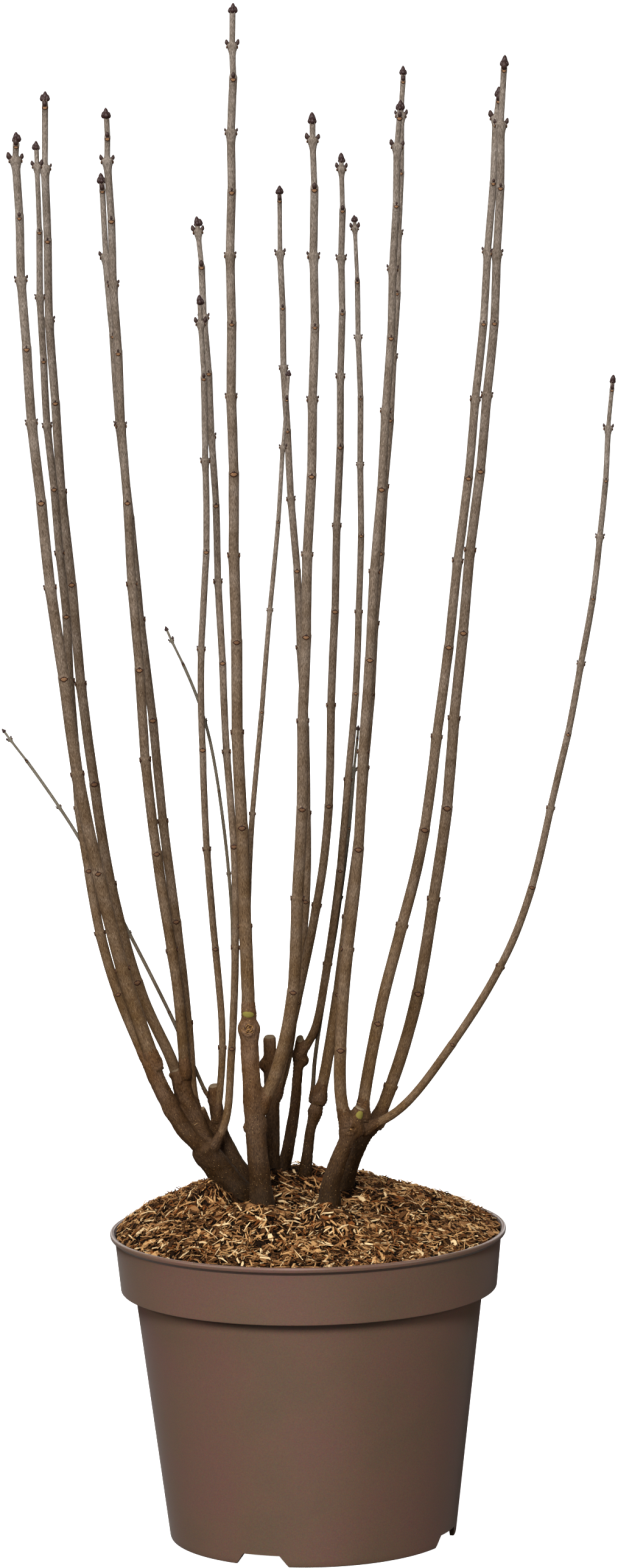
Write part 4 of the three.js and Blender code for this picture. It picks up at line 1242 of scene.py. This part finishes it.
sample = splinters(np.random.default_rng(1), *np.ones((3, 1)))[0]
print("corners of a splinter:", len(sample.reshape(-1, 3)))

# %% [markdown]
# Fresh softwood is straw yellow and weathers through tan and brown to nearly black as it rots.
# What comes out of the shredder is a mixture: fibres, stouter shards, a few flat chips with the
# face of a board, and crumbs. Every colour gets every kind, by the shares in the table.

# %% The chips, one mesh to a colour
CHIP_COUNT = 18500        # tries: pale crumbs and what falls on a stem's foot are left out
# the darker colours below this level stay round the stems' feet: damp wood and painted shade
SHADE_LEVEL = -2.3        # mm: a colour that lies lower than this counts as in the shade
CHIP_COLOURS = {          # colour, share of the splinters, mean height over the mound in mm
    "straw": ("#e6c99c", 0.05, -1.6), "pale_tan": ("#c69c6b", 0.11, -1.8),
    "tan": ("#99714a", 0.16, -2.0), "orange_brown": ("#7f4f29", 0.08, -2.2),
    "mid_brown": ("#624328", 0.18, -2.5), "umber": ("#402b19", 0.17, -2.8),
    "dark_brown": ("#28190e", 0.15, -3.2), "near_black": ("#120b06", 0.10, -3.5)}
CHIP_KINDS = {            # share of the count; length, width and thickness in mm; tilt in degrees
    "fibres": (0.42, (4, 16), (0.4, 0.9), (0.3, 0.6), 17),
    "shards": (0.34, (4, 12), (0.8, 2.0), (0.4, 0.9), 15),
    "flat chips": (0.02, (6, 12), (2.8, 5.0), (0.6, 1.2), 11),
    "crumbs": (0.22, (1.2, 4), (0.6, 1.6), (0.4, 1.0), 24)}


def heap_of(draw, count, level):
    """Splinters of every kind for one colour. Short ones are the commonest: the length grows as
    the power 1.7 of an even draw. Of the pale crumbs only three in ten are made."""
    in_shade = level < SHADE_LEVEL
    for kind, (share, lengths, widths, thicknesses, tilt) in CHIP_KINDS.items():
        thinned = 0.3 if kind == "crumbs" and not in_shade else 1
        x, y = scattered(draw, round(count * share * thinned), in_shade)
        length = lengths[0] + (lengths[1] - lengths[0]) * draw.uniform(0, 1, len(x)) ** 1.7
        bars = splinters(draw, length, draw.uniform(*widths, len(x)),
                         draw.uniform(*thicknesses, len(x)))
        lift = level + draw.normal(0, 0.8, len(x)) - 0.08 * length
        yield laid_on_mound(bars, x, y, lift, draw, tilt)


draw = np.random.default_rng(7)
chips = {}
for colour, (_, share, level) in CHIP_COLOURS.items():
    heap = np.concatenate(list(heap_of(draw, CHIP_COUNT * share, level)))
    chips[colour] = closed_surfaces("chips_" + colour, heap, smooth=False)
    print(len(heap), "chips of", colour)

# %% [markdown]
# ## Lilac bark
#
# Bark is dead cork. On lilac it is grey-brown, folded lengthwise, and dotted with lenticels, the
# pale warts of half a millimetre through which a stem breathes. Every pattern here is drawn on
# the bark's own coordinates, round and along the limb, so that streaks follow each bend. To the
# eye it is matt, warm in the folds where the cork is fresh, and greyer on what stands out.

# %% Streaks, patches and lenticels
STREAK_STEPS = (0.30, 0.45, 0.56, 0.70)     # where in the noise each of the four tones stands


def streaked(material, grain, streak, low_tones, tones):
    """Noise stretched along the grain, with streaks of a width and length in mm, chooses between
    four tones. The low tones give way to the others as share grows from 0.05 to 0.9."""
    width, length = streak
    stretched = add_node(material, "ShaderNodeMapping", {
        "Scale": (1 / (width * MM), 1 / (width * MM), 1 / (length * MM))}, {"Vector": grain})
    streaks = add_node(material, "ShaderNodeTexNoise",
                       {"Scale": 1.0, "Detail": 4.0, "Roughness": 0.6},
                       {"Vector": stretched.outputs["Vector"]}).outputs["Fac"]
    ends = {socket: add_node(material, "ShaderNodeValToRGB", links={"Fac": streaks},
                             stops=list(zip(STREAK_STEPS, four))).outputs["Color"]
            for socket, four in (("Color1", low_tones), ("Color2", tones))}
    share = add_node(material, "ShaderNodeAttribute", attribute_name="share")
    height = add_node(material, "ShaderNodeMapRange", {"From Min": 0.05, "From Max": 0.9},
                      {"Value": share.outputs["Fac"]})
    tone = add_node(material, "ShaderNodeMixRGB", links={"Fac": height.outputs["Result"], **ends})
    return streaks, tone.outputs["Color"]


def weathered(material, grain, tone):
    """Patches 16 mm across, from darker and fuller in colour to paler and greyer."""
    patches = add_node(material, "ShaderNodeTexNoise", {"Scale": 1 / (16 * MM), "Detail": 3.0},
                       {"Vector": grain})
    change = {socket: add_node(material, "ShaderNodeMapRange", {
        "From Min": 0.35, "From Max": 0.65, "To Min": start, "To Max": stop},
        {"Value": patches.outputs["Fac"]}).outputs["Result"]
        for socket, start, stop in [("Value", 0.84, 1.16), ("Saturation", 1.06, 0.86)]}
    greyed = add_node(material, "ShaderNodeHueSaturation", links={"Color": tone, **change})
    return greyed.outputs["Color"]


def dotted_with_warts(material, grain, tone, lenticel, wart, wart_share):
    """A lenticel in the middle of each cell. The first number is the spacing in mm, the second
    the share of it that is pale; wart is its colour and wart_share how much of that shows."""
    spacing, part = lenticel
    cells = add_node(material, "ShaderNodeTexVoronoi", {"Scale": 1 / (spacing * MM)},
                     {"Vector": grain})
    dots = add_node(material, "ShaderNodeMapRange", {"From Min": part, "From Max": part * 0.7},
                    {"Value": cells.outputs["Distance"]})
    faint = add_node(material, "ShaderNodeMath", {1: wart_share}, {0: dots.outputs["Result"]},
                     operation="MULTIPLY")
    dotted = add_node(material, "ShaderNodeMixRGB", {"Color2": linear(wart)},
                      {"Fac": faint.outputs["Value"], "Color1": tone})
    return dotted.outputs["Color"]


print("the four tones stand in the noise at:", STREAK_STEPS)

# %% [markdown]
# The three patterns make one bark, with its folds as relief: old bark, brown and coarse, which is
# nearly black at the chips, where it is damp, and darker there too as painted shade; young bark,
# grey and silky, which is brown at the foot; and the bark of thin twigs, where some green shows
# through.

# %% Bark, young and old
def bark_material(name, tones, low_tones, streak, lenticel, relief,
                  wart="#a89a82", wart_share=0.5):
    """Matt cork in streaked tones with lenticels. relief is the height of its folds in mm."""
    material, surface = new_material(name)
    grain = add_node(material, "ShaderNodeAttribute", attribute_name="grain").outputs["Vector"]
    streaks, tone = streaked(material, grain, streak, low_tones, tones)
    tone = weathered(material, grain, tone)
    tone = dotted_with_warts(material, grain, tone, lenticel, wart, wart_share)
    folds = add_node(material, "ShaderNodeBump", {"Strength": 0.8, "Distance": relief * MM},
                     {"Height": streaks})
    cork = add_node(material, "ShaderNodeBsdfPrincipled",
                    {"Roughness": 0.72, "IOR": 1.45, "Specular IOR Level": 0.25},
                    {"Base Color": tone, "Normal": folds.outputs["Normal"]})
    material.node_tree.links.new(cork.outputs["BSDF"], surface)
    return material


old_bark = bark_material(
    "old_lilac_bark", ["#44301c", "#654a32", "#77593d", "#8c6b4a"],
    # low tones, nearly black at the chips: partly damp bark and partly painted shade
    ["#1f1408", "#2f1f0c", "#3e2a12", "#4f391b"],
    streak=(0.4, 1.9), lenticel=(2.2, 0.13), relief=0.26, wart="#c2a070", wart_share=0.65)
young_bark = bark_material(
    "young_lilac_bark", ["#463e35", "#766a5e", "#92857a", "#b5a99d"],
    ["#402d1c", "#654e35", "#795f42", "#957956"],
    streak=(0.28, 2.2), lenticel=(2.4, 0.14), relief=0.15)
twig_bark = bark_material(
    "green_twig_bark", ["#4b453d", "#6e675b", "#807869", "#989080"],
    ["#372c21", "#554736", "#685843", "#7e6d54"],
    streak=(0.3, 0.8), lenticel=(3.0, 0.12), relief=0.1)
finish_piece(old_wood, old_bark, "old_bark", replaced=list(STEMS))
for name, piece in shoots.items():
    is_twig = name.startswith("low_twig")
    finish_piece(piece, twig_bark if is_twig else young_bark,
                 "twig_bark" if is_twig else "young_bark", replaced=[name])
print("pieces with bark:", 1 + len(shoots))

# %% [markdown]
# ## The plain finishes
#
# Bud scales are hard and a little waxy, so they are darker and shinier than bark. A fresh leaf
# scar is bare cork, a warm tan. Cut wood goes grey, and green where moss has settled. The
# splinters are one wood in eight states, from fresh and dry to rotten and wet. All of these are
# small joined things, so each mesh gets one plain colour, which travels with it anywhere.

# %% Buds, scars, cut wood, chips and compost
def plain_material(name, tone, roughness, grain=0.0):
    """One colour and one roughness. grain is the height in mm of a fine unevenness, for wood."""
    material, surface = new_material(name)
    shader = add_node(material, "ShaderNodeBsdfPrincipled", {
        "Base Color": linear(tone), "Roughness": roughness, "IOR": 1.45,
        "Specular IOR Level": 0.5 if roughness < 0.6 else 0.2})
    if grain:
        place = add_node(material, "ShaderNodeTexCoord").outputs["Object"]
        fibre = add_node(material, "ShaderNodeTexNoise", {"Scale": 1 / (0.9 * MM), "Detail": 3.0},
                         {"Vector": place})
        uneven = add_node(material, "ShaderNodeBump", {"Strength": 0.7, "Distance": grain * MM},
                          {"Height": fibre.outputs["Fac"]})
        material.node_tree.links.new(uneven.outputs["Normal"], shader.inputs["Normal"])
    material.node_tree.links.new(shader.outputs["BSDF"], surface)
    return material


# piece, finish, colour, roughness, height of the grain in mm, slot, and what it replaces
PLAIN_PIECES = [
    (side_buds, "bud_scales_side", "#43302a", 0.5, 0, "twig_bark"),
    (tip_buds, "bud_scales_tip", "#402c29", 0.42, 0, "twig_bark"),
    (scar_rims, "leaf_scar_rim", "#3d2720", 0.8, 0, "young_bark"),
    (fresh_scars, "leaf_scar_cork", "#8f6e52", 0.8, 0, "young_bark"),
    (weathered_scars, "weathered_scar_cork", "#775a44", 0.8, 0, "young_bark"),
    (cut_ends, "weathered_end_grain", "#8f7c64", 0.85, 0.3, "old_bark"),
    (wound_wood, "bare_wound_wood", "#9a7850", 0.85, 0.4, "old_bark"),
    (mossy_ovals, "mossy_end_grain", "#8a8044", 0.9, 0.3, "old_bark"),
    # the ground under the chips: dark crumbs, and painted shade in the gaps between them
    (chip_bed, "crumbs_and_painted_shade", "#2c1d13", 0.95, 0.8, "wood_chips", "wood_chips"),
    *((piece, "shredded_wood_" + colour, CHIP_COLOURS[colour][0], 0.85, 0.15, "wood_chips")
      for colour, piece in chips.items()),
    (compost, "bark_compost", "#33241a", 0.95, 0.9, "potting_mix", "potting_mix")]

for piece, name, tone, roughness, fibre_height, slot, *replaced in PLAIN_PIECES:
    finish_piece(piece, plain_material(name, tone, roughness, fibre_height), slot, replaced)
print("plain finishes:", len(PLAIN_PIECES))

# %% [markdown]
# ## The floor
#
# A studio for a plant shot is a white floor with no horizon, which ends in pure white but still
# takes a faint shadow round the pot. A lit floor alone would go grey further out. So it also
# glows by itself, and more so away from the pot. Neither it nor the white world lights the
# plant, so that its sides stay darker than its front.

# %% The floor
floor_mesh = bpy.data.meshes.new("floor")
corners = [(-60, -60, 0), (60, -60, 0), (60, 60, 0), (-60, 60, 0)]      # in metres
floor_mesh.from_pydata(corners, [], [(0, 1, 2, 3)])
floor = bpy.data.objects.new("floor", floor_mesh)
bpy.context.scene.collection.objects.link(floor)
white_floor, surface = new_material("white_studio_floor")
place = add_node(white_floor, "ShaderNodeTexCoord").outputs["Object"]
away = add_node(white_floor, "ShaderNodeVectorMath", links={0: place}, operation="LENGTH")
# at 0.3 m from the middle the glow is 0.85, and from 2.2 m on it is 1.3
glow = add_node(white_floor, "ShaderNodeMapRange", {
    "From Min": 0.3, "From Max": 2.2, "To Min": 0.85, "To Max": 1.3},
    {"Value": away.outputs["Value"]})
shine = add_node(white_floor, "ShaderNodeBsdfPrincipled", {
    "Base Color": linear("#e8e8e8"), "Roughness": 0.9, "Emission Color": linear("#ffffff")},
    {"Emission Strength": glow.outputs["Result"]})
white_floor.node_tree.links.new(shine.outputs["BSDF"], surface)
floor_mesh.materials.append(white_floor)
floor.visible_diffuse = floor.visible_glossy = False
floor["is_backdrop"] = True
print("the floor is", round(floor.dimensions.x), "m wide")

# %% [markdown]
# ## The lights
#
# A soft light is a large one: over a metre of white cloth, so that shadows have no edge. The
# strongest stands in front and above, because the plant is seen from there and its stems then
# darken towards their sides. One on either side rounds them, the left one stronger. One above is
# for the top of the heap, a faint one low down for the foot of the pot, and two behind keep the
# back readable.

# %% Seven soft lights and a white world
def soft_light(name, place, size, power):
    """A square area light at a place in metres that faces the middle of the plant, with its
    side in metres and its power in watts."""
    light = bpy.data.lights.new(name, "AREA")
    light.size, light.energy = size, power
    lamp = bpy.data.objects.new(name, light)
    lamp.location = place
    lamp.visible_camera = False
    towards = (np.array([0, 0, 0.5]) - place).tolist()
    lamp.rotation_euler = Vector(towards).to_track_quat("-Z", "Y").to_euler()
    bpy.context.scene.collection.objects.link(lamp)


soft_light("key_front", (-0.5, -4.2, 2.7), 1.2, 143)
soft_light("side_left", (-3.9, -2.25, 1.9), 1.6, 88)
soft_light("side_right", (3.9, -2.25, 1.4), 2.0, 52)
soft_light("top", (-0.9, -0.6, 3.6), 1.8, 34)
soft_light("floor_bounce", (-0.4, -2.3, 0.15), 3.0, 8)
soft_light("back_left", (-1.8, 4.2, 1.9), 2.6, 54)
soft_light("back_right", (1.8, 4.2, 1.9), 2.6, 54)

world = bpy.data.worlds.new("studio")
bpy.context.scene.world = world
world.use_nodes = True
background = world.node_tree.nodes["Background"].inputs
background["Color"].default_value = linear("#ffffff")
background["Strength"].default_value = 1.3
world.cycles_visibility.diffuse = world.cycles_visibility.glossy = False
print("lights:", len(bpy.data.lights))

# %% [markdown]
# ## The camera
#
# The camera stands 4.5 m in front of the pot, a little above the top of the bush, and looks down
# by seven and a half degrees, so that the rim of the pot shows as an open ellipse. A long lens
# from that far keeps the pot's sides nearly straight.

# %% Camera and tones
lens = bpy.data.cameras.new("camera")
lens.lens, lens.sensor_width, lens.clip_end = 148.53, 36.0, 30.0        # mm, mm, m
camera = bpy.data.objects.new("camera", lens)
camera.matrix_world = (Matrix.Translation((0.0062, -4.5, 1.135))
                       @ Matrix.Rotation(np.radians(82.44), 4, "X")
                       @ Matrix.Rotation(np.radians(-1.0), 4, "Z"))
bpy.context.scene.collection.objects.link(camera)
bpy.context.scene.camera = camera
bpy.context.scene.view_settings.view_transform = "Standard"
bpy.context.scene.view_settings.look = "Medium High Contrast"
print("the camera looks down by", round(90 - 82.44, 2), "degrees")

# %% [markdown]
# ## The last check
#
# The box of the finished bush should match the CAD model's, give or take the thickness of a bud.

# %% Compare sizes and finish
visual_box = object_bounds()
for label, (low, high) in (("CAD", cad_box), ("dressed", visual_box)):
    print(label, "box in mm:", [round(value / MM, 1) for value in (*low, *high)])
